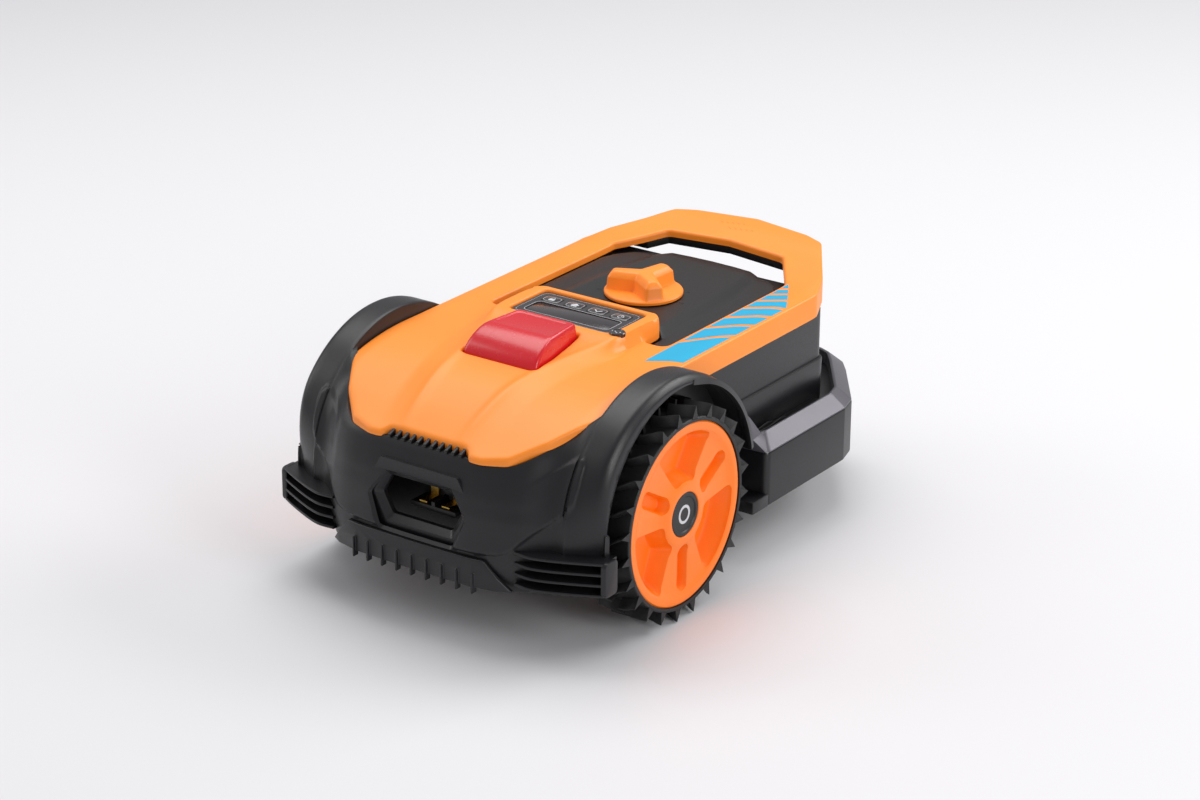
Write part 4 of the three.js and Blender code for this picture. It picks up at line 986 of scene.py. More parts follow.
    def panel(self) -> None:
        """Model the control panel, its window, keys and printed marks."""
        z = self.panel_top
        plate = stacked("panel_plate", self.panel_outline, ((z - 2.2, -0.1), (z - 0.5, -0.1), (z, -0.6)))
        boolean(plate, prism("window_cut", self.window_outline(0.3), z - 5, z + 5))
        for i in range(4):
            boolean(plate, prism("key_cut", self.key_outline(i, 0.4), z - 5, z + 5))
        shade(plate)
        install(plate, "chassis", "gloss_black", "control_panel")
        glass = stacked("panel_window", self.window_outline, ((z - 3.0, 0), (z - 0.45, 0), (z - 0.25, -0.3)))
        shade(glass)
        install(glass, "chassis", "gloss_black", "display_window", finish=WINDOW_PC)
        marks = [
            self.ring("window_line", self.window_outline(1.5), 0.4, z),
            self.ring("panel_line", self.panel_outline(-3.4), 0.25, z),
        ]
        install(joined("panel_lines", marks), "chassis", "gloss_black", finish=WHITE_INK)
        for i in range(4):
            plan = partial(self.key_outline, i)
            key = stacked(f"key_cap_{i + 1}", plan, ((z - 1.2, 0), (z + 0.1, 0), (z + 0.4, -0.5)))
            shade(key)
            install(key, f"panel_key_{i + 1}", "gloss_black", f"key_{i + 1}")
            mark = joined(f"key_mark_{i + 1}", self.symbol(i, z + 0.4))
            install(mark, f"panel_key_{i + 1}", "gloss_black", finish=WHITE_INK)
        rim = ((219.0, 7.4), (222.0, 7.4), (222.6, 6.8), (222.6, 5.6), (222.1, 5.2))
        badge = stacked("rain_badge", partial(circle, count=40, centre=self.badge), rim)
        shade(badge)
        install(badge, "chassis", "gloss_black", "rain_sensor")
        x, s = self.badge
        offsets = ((-2.4, 0.6), (0.2, -1.6), (2.6, 0.8))
        drops = [rod("drop", 0.75, 12, (x + dx, s + dy), 222.0, 222.2) for dx, dy in offsets]
        install(joined("rain_drops", drops), "chassis", "gloss_black", finish=WHITE_INK)

    def window_outline(self, grow: float) -> Outline:
        """Plan of the display window."""
        front = self.panel_front + self.window_margin
        plan = rectangle(self.window_half_width, front, front + self.window_depth)
        return rounded(grown(plan, grow), 6.0, 5)

    def key_centre(self, index: int) -> tuple[float, float]:
        """Middle of one of the four keys as (x, station)."""
        return (index - 1.5) * self.key_pitch, self.panel_rear - self.key_setback

    def key_outline(self, index: int, grow: float) -> Outline:
        """Plan of one key."""
        x, s = self.key_centre(index)
        w, h = self.key_half
        return rounded(grown(rectangle(w, s - h, s + h, x), grow), 4.0, 5)

    def ring(self, name: str, outline: Outline, width: float, z: float) -> bpy.types.Object:
        """Model a thin printed line along an outline."""
        inner = grown(outline, -width)
        rings = [[(x, y, h) for x, y in o] for o, h in ((outline, z - 0.2), (outline, z + 0.06), (inner, z + 0.06),
                                                        (inner, z - 0.2))]
        return lofted(name, rings, loop=True)

    def symbol(self, index: int, z: float) -> list[bpy.types.Object]:
        """Model a key's printed outline and its plain symbol."""
        x, s = self.key_centre(index)
        low, high = z - 0.1, z + 0.1
        made = [self.ring("key_line", self.key_outline(index, -1.1), 0.3, z)]
        if index == 3:
            made.append(self.ring("power_ring", circle(3.1, 28, (x, s - 0.3)), 0.65, z))
            made.append(prism("power_bar", rectangle(0.35, s + 0.4, s + 3.9, x), low, high))
        elif index == 2:
            for tilt in (-1, 1):
                bar = [(x, s - 3.0), (x + 4.4 * tilt, s + 1.2), (x + 3.4 * tilt, s + 2.0), (x, s - 1.5)]
                bar = bar if tilt > 0 else bar[::-1]
                made.append(prism("down_bar", bar, low, high))
        elif index == 1:
            roof = [(x + 4.6, s - 0.3), (x, s + 3.6), (x - 4.6, s - 0.3)]
            made += [prism("home", shape, low, high) for shape in (roof, rectangle(3.0, s - 3.4, s - 0.7, x))]
        else:
            made.append(prism("lock_body", rectangle(2.9, s - 3.2, s + 0.5, x), low, high))
            made.append(self.ring("lock_bow", circle(2.2, 24, (x, s + 1.2)), 0.6, z))
        return made

    def lining(self) -> None:
        """Dress the pieces that the hood holds: handle lining and front grille."""
        dress("handle_liner", "chassis", "black_plastic", 0.8)
        dress("hood_grille", "chassis", "black_plastic", 0.5)

    def build(self) -> None:
        """Model the whole sub-assembly."""
        self.shell()
        self.lining()
        self.painted_groove_shade()
        self.decal()
        self.button()
        self.panel()


@dataclass
class Deck:
    """Black deck behind the panel, with the cutting-height knob standing on it."""

    knob_station: float = 187.0
    knob_base: float = 206.6
    knob_top: float = 227.4
    mark_height: float = 206.02
    mark_start: float = 39.5
    mark_ends: tuple[float, float] = (44.5, 42.5)
    mark_half: float = 0.9
    lobe_reach: float = 33.4
    lobe_half: float = 8.8
    waist: float = 12.6
    first_lobe: float = -38.0

    def top(self, x: np.ndarray, s: np.ndarray) -> np.ndarray:
        """Height of the deck."""
        across = np.abs(x)
        half = eased(s, [(80, 62), (228, 56), (304, 44)])
        crown = 202 + 4 * (1 - np.clip((across - half + 1) / 13, 0, 1))
        fall = smooth_step((s - 284) / 20)
        return crown - fall * 2.5

    def plate(self) -> None:
        """Model the deck cover."""
        half = [(0.0, 124.8), (57.4, 124.8), (72.8, 108.4), (72.8, 84.0), (95.4, 84.0), (95.4, 254.0), (90.0, 270.0),
                (80.0, 284.0), (66.0, 294.0), (48.0, 300.0), (26.0, 303.0), (0.0, 304.0)]
        outline = rounded(symmetric(half), 8.0, 5)
        cover = Skin("deck_plate", outline, [circle(7.4, 32, (0.0, self.knob_station))], self.top,
                     lambda x, s: np.full_like(x, 199.2), roll=2.4, pitch=2.8, wall=2.0)
        install(cover.build(), "chassis", "black_plastic", "deck_cover")
        ticks = []
        for i in range(9):
            turn = math.radians(-160 + 40 * i)
            along = np.array([math.cos(turn), math.sin(turn)])
            across = np.array([-along[1], along[0]]) * self.mark_half
            near, far = along * self.mark_start, along * self.mark_ends[i % 2]
            corners = [near - across, far - across, far + across, near + across]
            ring = [(float(p[0]), float(p[1]) + self.knob_station) for p in corners]
            ticks.append(prism("tick", ring, self.mark_height - 0.4, self.mark_height + 0.12))
        install(joined("scale_marks", ticks), "chassis", "black_plastic", finish=SCALE_INK)

    def lobe_outline(self, grow: float) -> Outline:
        """Plan of the three-lobed grip."""
        points: Outline = []
        for i in range(3):
            turn = math.radians(self.first_lobe + 120 * i)
            along = np.array([math.cos(turn), math.sin(turn)])
            across = np.array([-along[1], along[0]])
            for side in (-1, 1):
                p = along * self.lobe_reach + side * across * self.lobe_half
                points.append((float(p[0]), float(p[1])))
            half_turn = turn + math.pi / 3
            points.append((self.waist * math.cos(half_turn), self.waist * math.sin(half_turn)))
        return [(x, y + self.knob_station) for x, y in rounded(grown(points, grow), 3.4, 5)]

    def knob(self) -> None:
        """Model the cutting-height knob."""
        z = self.knob_base
        centre = (0.0, self.knob_station)
        edge = ((0.0, 35.6), (0.5, 36.3), (2.6, 36.4), (3.6, 35.7), (4.1, 34.2), (4.3, 10.0))
        disc = stacked("knob_disc", partial(circle, count=72, centre=centre), ((z + h, r) for h, r in edge))
        wall = ((2.0, 1.6), (4.6, 0.6), (6.0, 0.0), (14.4, -0.7), (15.4, -1.0), (19.6, -4.0), (20.4, -5.0))
        levels = [*((z + h, g) for h, g in wall), (self.knob_top, -6.2)]
        grip = stacked("knob_grip", self.lobe_outline, levels)
        boolean(disc, grip, "UNION")
        disc.name = "height_knob_moulded"
        shade(disc, 32)
        install(disc, "adjuster", "orange_shell", "height_knob")

    def build(self) -> None:
        """Model the whole sub-assembly."""
        self.plate()
        self.knob()


@dataclass
class Nose:
    """Charcoal nose with both wheel arches, the port, the lip and the side fins."""

    bottom: float = 56.0
    inner: float = 132.8
    outer: float = 165.8
    crown: float = 123.0
    corner_radius: float = 121.0
    blend_start: float = 98.0
    blend_width: float = 34.8
    crown_station: float = -4.0
    arch: float = 110.8
    arch_station: float = 5.6
    arch_rise: float = 2.0
    step: float = 2.0
    step_width: float = 2.2
    step_fade: float = 26.0
    relief_end: float = 48.0
    crease: list[tuple[float, float]] = field(
        default_factory=lambda: [(99.3, 149.3), (117.6, 163.6), (127.6, 171.0), (134.0, 174.6), (138.6, 174.4),
                                 (141.6, 170.0), (142.0, 153.3), (140.4, 139.5), (132.7, 129.6), (109.3, 110.3),
                                 (95.0, 96.0), (90.0, 92.2), (82.3, 89.9), (65.3, 88.4), (28.0, 87.6), (0.0, 87.4)]
    )

    def plan(self, x: np.ndarray) -> np.ndarray:
        """Station of the nose's foremost line at x."""
        return eased(np.abs(x), [(0, -154), (30, -153.8), (60, -152.4), (84, -148.2), (106, -138.8), (120, -131.6),
                                 (self.inner, -124.8)])

    def lean(self, z: np.ndarray) -> np.ndarray:
        """How far the nose falls back at a height."""
        return eased(z, [(56, 6), (70, 1.5), (84, 0), (100, 1), (134, 5), (152, 10.4), (164, 15.5), (176, 26),
                         (190, 52), (204, 90)])

    def front_radius(self, x: np.ndarray) -> np.ndarray:
        """Crown radius at axle height, where the fender turns round the corner."""
        return eased(np.abs(x), [(self.inner, self.corner_radius), (140, 117.5), (150, 111.5), (158, 105.6),
                                 (self.outer, 99.0)])

    def arch_radius(self, angle: np.ndarray) -> np.ndarray:
        """Distance from the crown's centre to the arch edge at an angle above the forward horizontal."""
        dx, dz = self.arch_station - self.crown_station, self.arch_rise
        ux, uz = -np.cos(angle), np.sin(angle)
        along = dx * ux + dz * uz
        return along + np.sqrt(np.maximum(along**2 - dx * dx - dz * dz + self.arch**2, 0))

    def fender_point(self, x: float, radius: float, angle: float) -> tuple[float, float, float]:
        """Point at a crown radius and angle."""
        return x, self.crown_station - radius * math.cos(angle), AXLE_Z + radius * math.sin(angle)

    def surface(self, x: np.ndarray, z: np.ndarray) -> np.ndarray:
        """Station of the nose's face between the fenders."""
        drop = np.clip(self.crown**2 - (z - AXLE_Z) ** 2, 0, None)
        round_face = self.crown_station - np.sqrt(drop) + 2.0 * (1 - smooth_step((z - 100) / 60))
        plain = self.plan(x) + self.lean(z)
        share = smooth_step((np.abs(x) - self.blend_start) / self.blend_width)
        return plain * (1 - share) + round_face * share

    def edge_height(self, x: np.ndarray) -> np.ndarray:
        """Height of the nose's upper edge, just under the hood's."""
        return eased(np.abs(x), [(0, 164.5), (60, 164.5), (84, 165.2), (100, 172.5), (110, 180), (122, 191.5),
                                 (self.inner, 201)])

    def relief(self, x: np.ndarray, z: np.ndarray) -> np.ndarray:
        """Outward step of the swept panel edge, in millimetres."""
        points = np.stack([np.abs(x), z], 1)
        best = np.full(len(points), 1e9)
        side = np.zeros(len(points))
        for (ax, az), (bx, bz) in zip(self.crease[:-1], self.crease[1:], strict=True):
            a, edge = np.array([ax, az]), np.array([bx - ax, bz - az])
            t = np.clip(((points - a) @ edge) / float(edge @ edge), 0, 1)
            away = points - a - t[:, None] * edge
            distance = np.linalg.norm(away, axis=1)
            cross = edge[0] * away[:, 1] - edge[1] * away[:, 0]
            closer = distance < best
            best[closer] = distance[closer]
            side[closer] = np.sign(cross[closer])
        upper = smooth_step((z - 118) / 14)
        fade = (1 - upper) * smooth_step((np.abs(x) - 24) / 30) + upper * smooth_step((np.abs(x) - 97) / 24)
        return self.step * fade * smooth_step(0.5 - side * best / self.step_width) * np.exp(-best / self.step_fade)

    def face(self) -> bpy.types.Object:
        """Model the nose's face."""
        columns = np.linspace(-self.inner, self.inner, 161)
        rows = np.linspace(0, 1, 71)
        xs, ts = np.meshgrid(columns, rows)
        zs = self.bottom + ts * (self.edge_height(xs) - self.bottom)
        flat_x, flat_z = xs.ravel(), zs.ravel()
        station = self.surface(flat_x, flat_z) - self.relief(flat_x, flat_z)
        points = np.stack([flat_x, station, flat_z], 1).reshape(*xs.shape, 3)
        lip_in = points[0].copy()
        lip_in[:, 1] += 5
        tuck = points[-1].copy()
        tuck[:, 1] += 9 - 2 * smooth_step((np.abs(tuck[:, 0]) - 90) / 40)
        tuck[:, 2] += 1.0
        return lofted("nose_face", [lip_in, *points, tuck], closed=False, caps=(False, False), solid=False)

    def fender(self, side: int) -> bpy.types.Object:
        """Model one fender as far as its joint with the nose's face."""
        start = math.asin((self.bottom - AXLE_Z) / self.crown)
        end = math.pi - math.asin(20.5 / self.crown)
        angles = np.linspace(start, end, 181)
        flat = (136.0, 138.0, 139.6, 140.6, 141.4, 142.2, 143.2, 144.6, 148, 152, 157)
        columns = [*((x, 0) for x in flat), (159.6, 0.3), (161.6, 1.5), (163.6, 3.6), (165.2, 5.8), (self.outer, 7.0)]
        rings = []
        for angle in angles:
            degrees = math.degrees(angle)
            share = float(smooth_step(np.array((degrees + 6) / 48)))
            after = float(smooth_step(np.array((degrees - 52) / 10)))
            arch = float(self.arch_radius(np.array(angle)))
            ring = []
            for x, r_top in columns:
                front = float(self.front_radius(np.array(x)))
                radius = front * (1 - share) + (self.crown - r_top) * share
                _, _, height = self.fender_point(x, radius, angle)
                if degrees < self.relief_end:
                    radius += float(self.relief(np.array([x]), np.array([height]))[0])
                ring.append((side * x, *self.fender_point(x, max(radius, arch + 0.8), angle)[1:]))
            first = self.crown if share >= 1 else self.corner_radius * (1 - share) + self.crown * share
            inner_wall = [
                (self.inner, first - 26.0 * after - 0.1),
                (self.inner, first - 2.4 * after),
                (self.inner + 0.7 * after, first - 0.7 * after),
                (self.inner + 2.2, first - 0.1),
            ]
            ring = [(side * x, *self.fender_point(x, r, angle)[1:]) for x, r in inner_wall] + ring
            for x, off in ((self.outer, 1.6), (self.outer - 0.4, 0.5), (self.outer - 1.4, 0.0), (150.0, 0.0)):
                ring.append((side * x, *self.fender_point(x, arch + off, angle)[1:]))
            rings.append(ring)
        return lofted(f"fender_{side}", rings, closed=False, caps=(False, False), solid=False)

    def shell(self) -> None:
        """Model the nose and both fenders with the port's recess."""
        piece = joined("nose_cover", [self.face(), self.fender(1), self.fender(-1)])
        clean(piece, merge=0.05)
        front = min(piece.data.polygons, key=lambda f: f.center.y)
        if front.normal.y > 0:
            piece.data.flip_normals()
        modify(piece, "SOLIDIFY", thickness=2.4 * MM, offset=-1.0, use_even_offset=False)
        boolean(piece, self.port("port_collar", ((-147.5, 16), (-138, 16))), "UNION")
        boolean(piece, self.port("port_taper", ((-170, 22), (-154.5, 13), (-143.5, 0.8), (-142.6, 0.0), (-120, 0.0))))
        shade(piece, 38)
        install(piece, "chassis", "charcoal_shell", "front_shell")

    def port(self, name: str, levels: Sequence[tuple[float, float]]) -> bpy.types.Object:
        """Loft a tool through the port's outline from (station, growth) pairs."""
        return lofted(name, [[(x, s, z) for x, z in self.port_outline(g)] for s, g in levels])

    def port_outline(self, grow: float) -> Outline:
        """Outline of the charging port as (x, z)."""
        half = [(32.0, 97.0), (42.0, 115.0), (32.0, 133.0)]
        return rounded(grown([*half, *[(-x, z) for x, z in reversed(half)]], grow), 4.0, 4)

    def fittings(self) -> None:
        """Dress the lip and fins."""
        dress("bumper_lip", "chassis", "charcoal_shell", 0.9, 3)
        for side, label in SIDES:
            self.fins(side, label)

    def fins(self, side: int, label: str) -> None:
        """Model the four curved slats ahead of a wheel and the post that ends them."""
        edge = [(96.0, -144.2), (112.0, -145.4), (126.0, -142.0), (142.0, -135.4), (158.0, -128.0), (168.0, -123.0),
                (172.5, -120.4)]
        parts = []
        for level in (65.5, 75.2, 84.8, 94.5):
            rings = []
            for x in np.linspace(98, 172.5, 17):
                front = float(eased(np.array(x), edge))
                face = float(self.surface(np.array([min(x, self.inner)]), np.array([level]))[0]) if x < 134 else -104.0
                back = max(min(face + 3.0, -100.0), front + 3.0)
                rings.append([(side * x, s, z) for s, z in (
                    (front + 0.5, level - 1.2), (back, level - 1.5), (back, level + 1.5), (front + 0.5, level + 1.2),
                    (front, level + 0.6), (front, level - 0.6))])
            parts.append(lofted(f"slat_{level}", rings))
        profile = rounded([(-121.2, 64.0), (-103.0, 64.0), (-103.0, 96.0), (-121.2, 96.0)], 5.0, 5)
        post = lofted("post", [[(side * x, s, z) for s, z in grown(profile, g)] for x, g in
                               ((170.2, -0.8), (171.0, 0.0), (174.4, 0.0), (175.5, -0.5), (176.0, -1.6))])
        parts.append(post)
        piece = joined(f"fins_{label}", parts)
        shade(piece, 40)
        install(piece, "chassis", "charcoal_shell", f"side_fins_{label}")

    def build(self) -> None:
        """Model the whole sub-assembly."""
        self.shell()
        self.fittings()


@dataclass
class Wheels:
    """Driven wheels: tyre, rim and hub cap on each side."""

    tip: float = 97.8
    tread: float = 87.0
    rim: float = 83.0
    bore: float = 5.3
    inner_x: float = 131.2
    outer_x: float = 175.2
    lugs: int = 24
    lug_lead: float = 7.0
    pockets: int = 3
    pocket_half: float = 32.0
    pocket_outer: float = 73.6
    pocket_inner: float = 31.0
    slot_half: float = 8.0
    slot_start: float = 28.6
    slot_end: float = 71.6

    def tyre(self, side: int, label: str) -> None:
        """Model a tyre from a turned band and lugs copied round it."""
        band = turned(
            "band",
            [(self.inner_x, self.rim + 0.3), (self.outer_x - 0.2, self.rim + 0.3), (self.outer_x, self.rim + 1.0),
             (self.outer_x, self.tread - 0.8), (self.outer_x - 0.8, self.tread), (self.inner_x, self.tread)],
            side,
        )
        parts = [band]
        middle = (self.inner_x + self.outer_x) / 2
        row = [(self.outer_x, 0.0, 4.4, 0.4), (self.outer_x - 2, 0.3, 3.2, 0.8), (self.outer_x - 6, 1.6, 2.1, 1.1),
               (self.outer_x - 15, 5.2, 1.9, 1.2), (middle + 0.4, 5.9, 2.2, 1.2)]
        pitch = 360 / self.lugs
        for mirror in (False, True):
            for i in range(self.lugs):
                rings = []
                for x, twist, root, point in row:
                    place = 2 * middle - x if mirror else x
                    turn = math.radians((i + (0.5 if mirror else 0.0)) * pitch + twist - self.lug_lead)
                    rings.append([self.rim_point(side * place, turn, r, w) for r, w in
                                  ((self.tread - 1.2, -root), (self.tip - 0.7, -point), (self.tip, -point * 0.4),
                                   (self.tip, point * 0.4), (self.tip - 0.7, point), (self.tread - 1.2, root))])
                parts.append(lofted(f"lug_{mirror}_{i}", rings))
        piece = joined(f"tyre_moulded_{label}", parts)
        shade(piece, 30)
        install(piece, f"wheel_{label}", "tyre_rubber", f"tyre_{label}")

    def rim_point(self, x: float, turn: float, radius: float, across: float) -> tuple[float, float, float]:
        """Point at a radius and a sideways distance from a spoke line."""
        along = (math.cos(turn), math.sin(turn))
        return (x, radius * along[0] - across * along[1], AXLE_Z + radius * along[1] + across * along[0])

    def disc(self, side: int, label: str) -> None:
        """Model a rim: a turned disc with three deep pockets and three slots."""
        face, back, web = self.outer_x - 1.0, self.inner_x + 4, self.inner_x + 16
        piece = turned(
            f"rim_moulded_{label}",
            [(face - 4, self.bore), (face - 4, 20.3), (face - 0.6, 20.3), (face, 21.2), (face, 26.5),
             (face - 1.6, 30.5), (face - 3.2, 40), (face - 3.2, 66), (face - 1.8, 72.5), (face - 0.4, 75.5),
             (face, 77.5), (face, 81.6), (face - 1.0, self.rim), (back, self.rim), (back, 78), (web, 76), (web, 18),
             (back, 18), (back, self.bore)],
            side,
        )
        share = 360 / self.pockets
        for i in range(self.pockets):
            middle = 90 + share * i
            boolean(piece, self.pocket(side, face, math.radians(middle)))
            boolean(piece, self.slot(side, face, math.radians(middle + share / 2)))
        bevel(piece, 1.3, 3, 38)
        shade(piece, 32)
        install(piece, f"wheel_{label}", "rim_orange", f"wheel_rim_{label}")

    def pocket(self, side: int, face: float, middle: float) -> bpy.types.Object:
        """Model the tool that cuts one deep pocket between two spokes."""
        half = math.radians(self.pocket_half)
        base: Outline = []
        for radius, shares in (
            (self.pocket_outer, (-1, -0.6, -0.4, -0.2, 0, 0.2, 0.4, 0.6, 1)),
            (self.pocket_inner, (0.8, 0.25, -0.25, -0.8)),
        ):
            base += [(radius * math.cos(middle + half * a), radius * math.sin(middle + half * a)) for a in shares]
        rings = [[(side * (face - d), s, AXLE_Z + z) for s, z in rounded(grown(base, g), r, 5)] for d, g, r in
                 ((-2, 1.0, 9), (2.6, 0.6, 9), (5, -0.6, 9), (16, -4.4, 8), (18.6, -6.0, 7), (19.4, -8.2, 6))]
        return lofted("pocket_tool", rings)

    def slot(self, side: int, face: float, turn: float) -> bpy.types.Object:
        """Model the tool that cuts one round-ended slot along a spoke."""
        half = self.slot_half
        outline: Outline = []
        for centre, start in ((self.slot_end - half, -90), (self.slot_start + half, 90)):
            for k in range(9):
                a = math.radians(start + 22.5 * k)
                outline.append((centre + half * math.cos(a), half * math.sin(a)))
        rings = []
        for d, g in ((-2, 0.8), (2.4, 0.4), (4.0, -0.6), (11.4, -2.4), (12.2, -3.8)):
            rings.append([self.rim_point(side * (face - d), turn, r, w) for r, w in grown(outline, g)])
        return lofted("slot_tool", rings)

    def cap(self, side: int, label: str) -> None:
        """Model a hub cap with a plain printed ring."""
        face = self.outer_x - 1.4
        piece = turned(
            f"cap_moulded_{label}",
            [(face - 2.9, 0), (face - 2.9, 20.0), (face - 0.5, 20.0), (face, 19.3), (face, 16.6), (face - 0.9, 15.6),
             (face - 1.1, 0)],
            side,
            72,
            loop=False,
        )
        shade(piece, 30)
        install(piece, f"wheel_{label}", "black_plastic", f"hub_cap_{label}")
        ring = turned(
            f"cap_ring_{label}",
            [(face - 1.4, 6.0), (face - 0.95, 6.0), (face - 0.95, 8.6), (face - 1.4, 8.6)],
            side,
            56,
        )
        shade(ring)
        install(ring, f"wheel_{label}", "black_plastic", finish=WHITE_INK)

    def build(self) -> None:
        """Model both wheels."""
        for side, label in SIDES:
            self.tyre(side, label)
            self.disc(side, label)
            self.cap(side, label)


@dataclass
class Tail:
    """Rear body, its wide base, the grey trim and the louvres."""

    half_width: float = 160.0
    front: float = 152.0
    body_half_width: float = 126.0
    body_front: float = 96.0
    body_rear: float = 303.0
    roof: float = 98.3
    body_split: float = 186.0
    castor: tuple[float, float] = (80.0, 336.0)

    def outline(self, grow: float = 0.0) -> Outline:
        """Plan of the base."""
        half = [(self.half_width, self.front), (self.half_width, 285.0), (154.0, 307.0), (112.0, 366.0), (98.0, 383.0),
                (80.0, 391.0), (60.0, 392.0)]
        return rounded(grown(symmetric(half), grow), 7.0, 4)

    def rear_body(self) -> None:
        """Model the upper body with its ledge line."""
        base = rounded(rectangle(self.body_half_width, self.body_front, self.body_rear), 13.0, 6)
        levels = [(self.roof, 0.0), (self.roof + 0.6, 0.4), (136.9, 1.0), (137.8, 0.7), (138.2, 0.0), (138.3, -1.6),
                  (180.0, -1.6), (185.6, -1.6)]
        rings = [[(x, y, z) for x, y in grown(base, g)] for z, g in levels]
        inner = [[(x, y, z) for x, y in grown(base, -5.2)] for z in (185.6, self.roof)]
        wall = lofted("body_wall", [*rings, *inner], loop=True)
        upper = softened("rear_body", 0.6)
        boolean(upper, block("upper_keep", (-200, 0, self.body_split), (200, 400, 260), 0), "INTERSECT")
        piece = joined("rear_body_moulded", [wall, upper])
        shade(piece)
        install(piece, "chassis", "black_plastic", "rear_body", finish=CHARCOAL_PP)

    def base(self) -> None:
        """Model the wide base as an open tray turned upside down, with the castor sockets and feet."""
        levels = ((46.0, -1.4), (46.8, -0.4), (48.4, 0.0), (96.6, 0.0), (97.6, -0.4), (98.0, -1.4))
        piece = stacked("rear_base_moulded", self.outline, levels)
        boolean(piece, prism("base_hollow", self.outline(-3), 40.0, 95.0))
        boolean(piece, block("roof_hole", (-101, 120, 30), (101, 296, 130), 0))
        for side in (1, -1):
            centre = (side * self.castor[0], self.castor[1])
            boolean(piece, rod("socket", 11, 32, centre, 68.0, 97.0), "UNION")
            boolean(piece, rod("bore", 5.8, 24, centre, 50.0, 91.0))
            ends = sorted((side * 130.0, side * self.half_width))
            boolean(piece, block("foot", (ends[0], 130.0, 46.0), (ends[1], 156.0, 58.0), 1.2), "UNION")
        boolean(piece, block("rocker_hole", (-11, 380, 65.2), (11, 400, 82.8), 0))
        shade(piece, 32)
        install(piece, "chassis", "black_plastic", "rear_base", finish=CHARCOAL_PP)

    def trim(self) -> None:
        """Model the bevelled grey frame and its two wings."""
        profile = [(self.roof, -0.3), (99.4, -0.4), (109.6, -12.6), (110.9, -14.2), (111.0, -15.4), (110.3, -16.6),
                   (self.roof, -17.0)]
        rings = [[(x, y, z) for x, y in self.outline(g)] for z, g in profile]
        band = lofted("trim_band", rings, loop=True)
        boolean(band, block("front_cut", (-143.0, 120, 90), (143.0, 180, 130), 0))
        parts = [band]
        for side in (1, -1):
            levels = [
                (self.roof, [(127, 150), (159.4, 152.4), (158.6, 172), (143, 166), (127, 164)]),
                (111.0, [(127, 143), (148.2, 146), (145.2, 164), (143, 156), (127, 154)]),
                (130.0, [(127, 131.5), (144.6, 134.4), (144.0, 148), (142.8, 144), (127, 142)]),
                (145.0, [(127, 119.5), (142.8, 121.4), (142.6, 133), (142, 132), (127, 131)]),
                (147.6, [(128, 119.5), (141.6, 121.4), (141.4, 130), (141, 130), (128, 129)]),
            ]
            rings = [[(side * x, y, z) for x, y in ring] for z, ring in levels]
            wing = lofted(f"wing_{side}", rings)
            bevel(wing, 1.0, 3, 25)
            parts.append(wing)
        piece = joined("rear_trim_moulded", parts)
        shade(piece, 30)
        install(piece, "chassis", "trim_grey", "rear_trim")

    def build(self) -> None:
        """Model the whole sub-assembly."""
        self.rear_body()
        self.base()
        self.trim()
        for _, side in SIDES:
            dress(f"louvre_{side}", "chassis", "black_plastic", 0.5)


@dataclass
class Undercarriage:
    """Castors, cutting unit and the other small CAD pieces, with rounded edges where they show."""

    rounding: float = 0.5

    def build(self) -> None:
        """Round and dress the pieces."""
        for _, side in SIDES:
            dress(f"castor_fork_{side}", f"castor_{side}", "black_plastic", self.rounding)
            dress(f"castor_wheel_{side}", f"castor_roller_{side}", "tyre_rubber", 1.6, 4)
        for node, body in (("power_switch", "rocker"), ("contact_block", "chassis"), ("blade_disc", "blade_rotor")):
            dress(node, body, "black_plastic", self.rounding)


def dress_nodes() -> None:
    """Give every CAD node that still shows the finish of its slot."""
    slots = {part["node"]: part["material_slot"] for part in frame["record"]["subparts"]}
    for name, node in frame["nodes"].items():
        if node.hide_render:
            continue
        node.data.materials.clear()
        node.data.materials.append(SLOT_FINISH[slots[name]].material())


# ------------------------------------------------------------------ stage


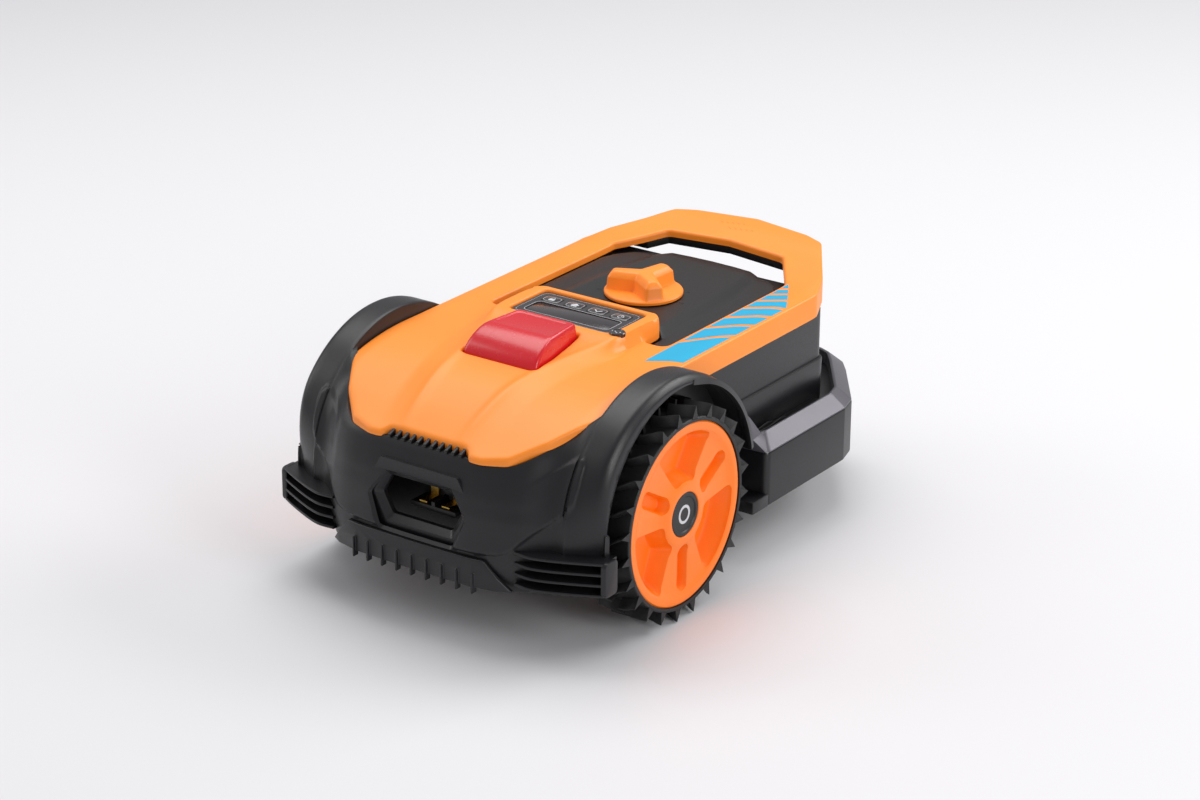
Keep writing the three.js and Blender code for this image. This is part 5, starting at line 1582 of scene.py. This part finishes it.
@dataclass
class Studio:
    """Pale floor, soft light and the camera."""

    azimuth: float = 35.11
    elevation: float = 22.15
    roll: float = 0.4
    lens: float = 99.84
    place: tuple[float, float, float] = (1610.9, -2172.3, 1263.1)
    floor_size: float = 14.0
    floor_colour: str = "#DAD9DB"
    sky_colour: str = "#F4F4F7"
    sky_strength: float = 0.44

    def floor(self) -> None:
        """Model the seamless floor."""
        deselect()
        bpy.ops.mesh.primitive_plane_add(size=self.floor_size)
        floor = bpy.context.object
        floor.name = "studio_floor"
        material = bpy.data.materials.new("matt_white_paint")
        material.use_nodes = True
        shader = material.node_tree.nodes["Principled BSDF"]
        shader.inputs["Base Color"].default_value = linear(self.floor_colour)
        shader.inputs["Roughness"].default_value = 0.6
        floor.data.materials.append(material)

    def lamp(self, name: str, place: tuple[float, float, float], size: tuple[float, float], power: float) -> None:
        """Hang one rectangular soft light that points at the mower."""
        data = bpy.data.lights.new(name, "AREA")
        data.shape = "RECTANGLE"
        data.size, data.size_y = size
        data.energy = power
        light = bpy.data.objects.new(name, data)
        bpy.context.scene.collection.objects.link(light)
        light.location = place
        light.rotation_euler = (Vector((0, 0, 0.1)) - Vector(place)).to_track_quat("-Z", "Y").to_euler()

    def light(self) -> None:
        """Set the even background and the soft lights."""
        scene = bpy.context.scene
        world = bpy.data.worlds.new("studio")
        world.use_nodes = True
        background = world.node_tree.nodes["Background"]
        background.inputs["Color"].default_value = linear(self.sky_colour)
        background.inputs["Strength"].default_value = self.sky_strength
        scene.world = world
        scene.view_settings.view_transform = "Standard"
        self.lamp("key_above", (-0.7, 0.6, 2.6), (2.4, 2.0), 50.0)
        self.lamp("left_box", (-2.3, -1.0, 1.5), (1.2, 1.8), 16.0)
        self.lamp("rear_box", (1.5, 2.2, 1.9), (1.8, 1.2), 44.0)
        self.lamp("right_box", (2.5, -0.7, 1.3), (1.0, 1.4), 26.0)

    def camera(self) -> None:
        """Set the camera."""
        data = bpy.data.cameras.new("camera")
        camera = bpy.data.objects.new("camera", data)
        bpy.context.scene.collection.objects.link(camera)
        bpy.context.scene.camera = camera
        data.lens = self.lens
        data.sensor_width = 36.0
        data.clip_start, data.clip_end = 0.05, 60.0
        a, e, r = (math.radians(v) for v in (self.azimuth, self.elevation, self.roll))
        back = Vector((math.sin(a) * math.cos(e), -math.cos(a) * math.cos(e), math.sin(e)))
        right = Vector((math.cos(a), math.sin(a), 0.0))
        up = back.cross(right)
        turned_right = right * math.cos(r) + up * math.sin(r)
        turned_up = back.cross(turned_right)
        basis = Matrix((turned_right, turned_up, back)).transposed()
        camera.matrix_world = Matrix.Translation(Vector(to_metres(np.array(self.place)))) @ basis.to_4x4()

    def build(self) -> None:
        """Set the whole stage."""
        self.floor()
        self.light()
        self.camera()


def main() -> None:
    """Build every sub-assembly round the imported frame."""
    logging.basicConfig(level=logging.INFO, format="%(message)s", stream=sys.stdout)
    for assembly in (Hood(), Deck(), Nose(), Wheels(), Tail(), Undercarriage(), Studio()):
        assembly.build()
    dress_nodes()


if __name__ == "__main__":
    main()
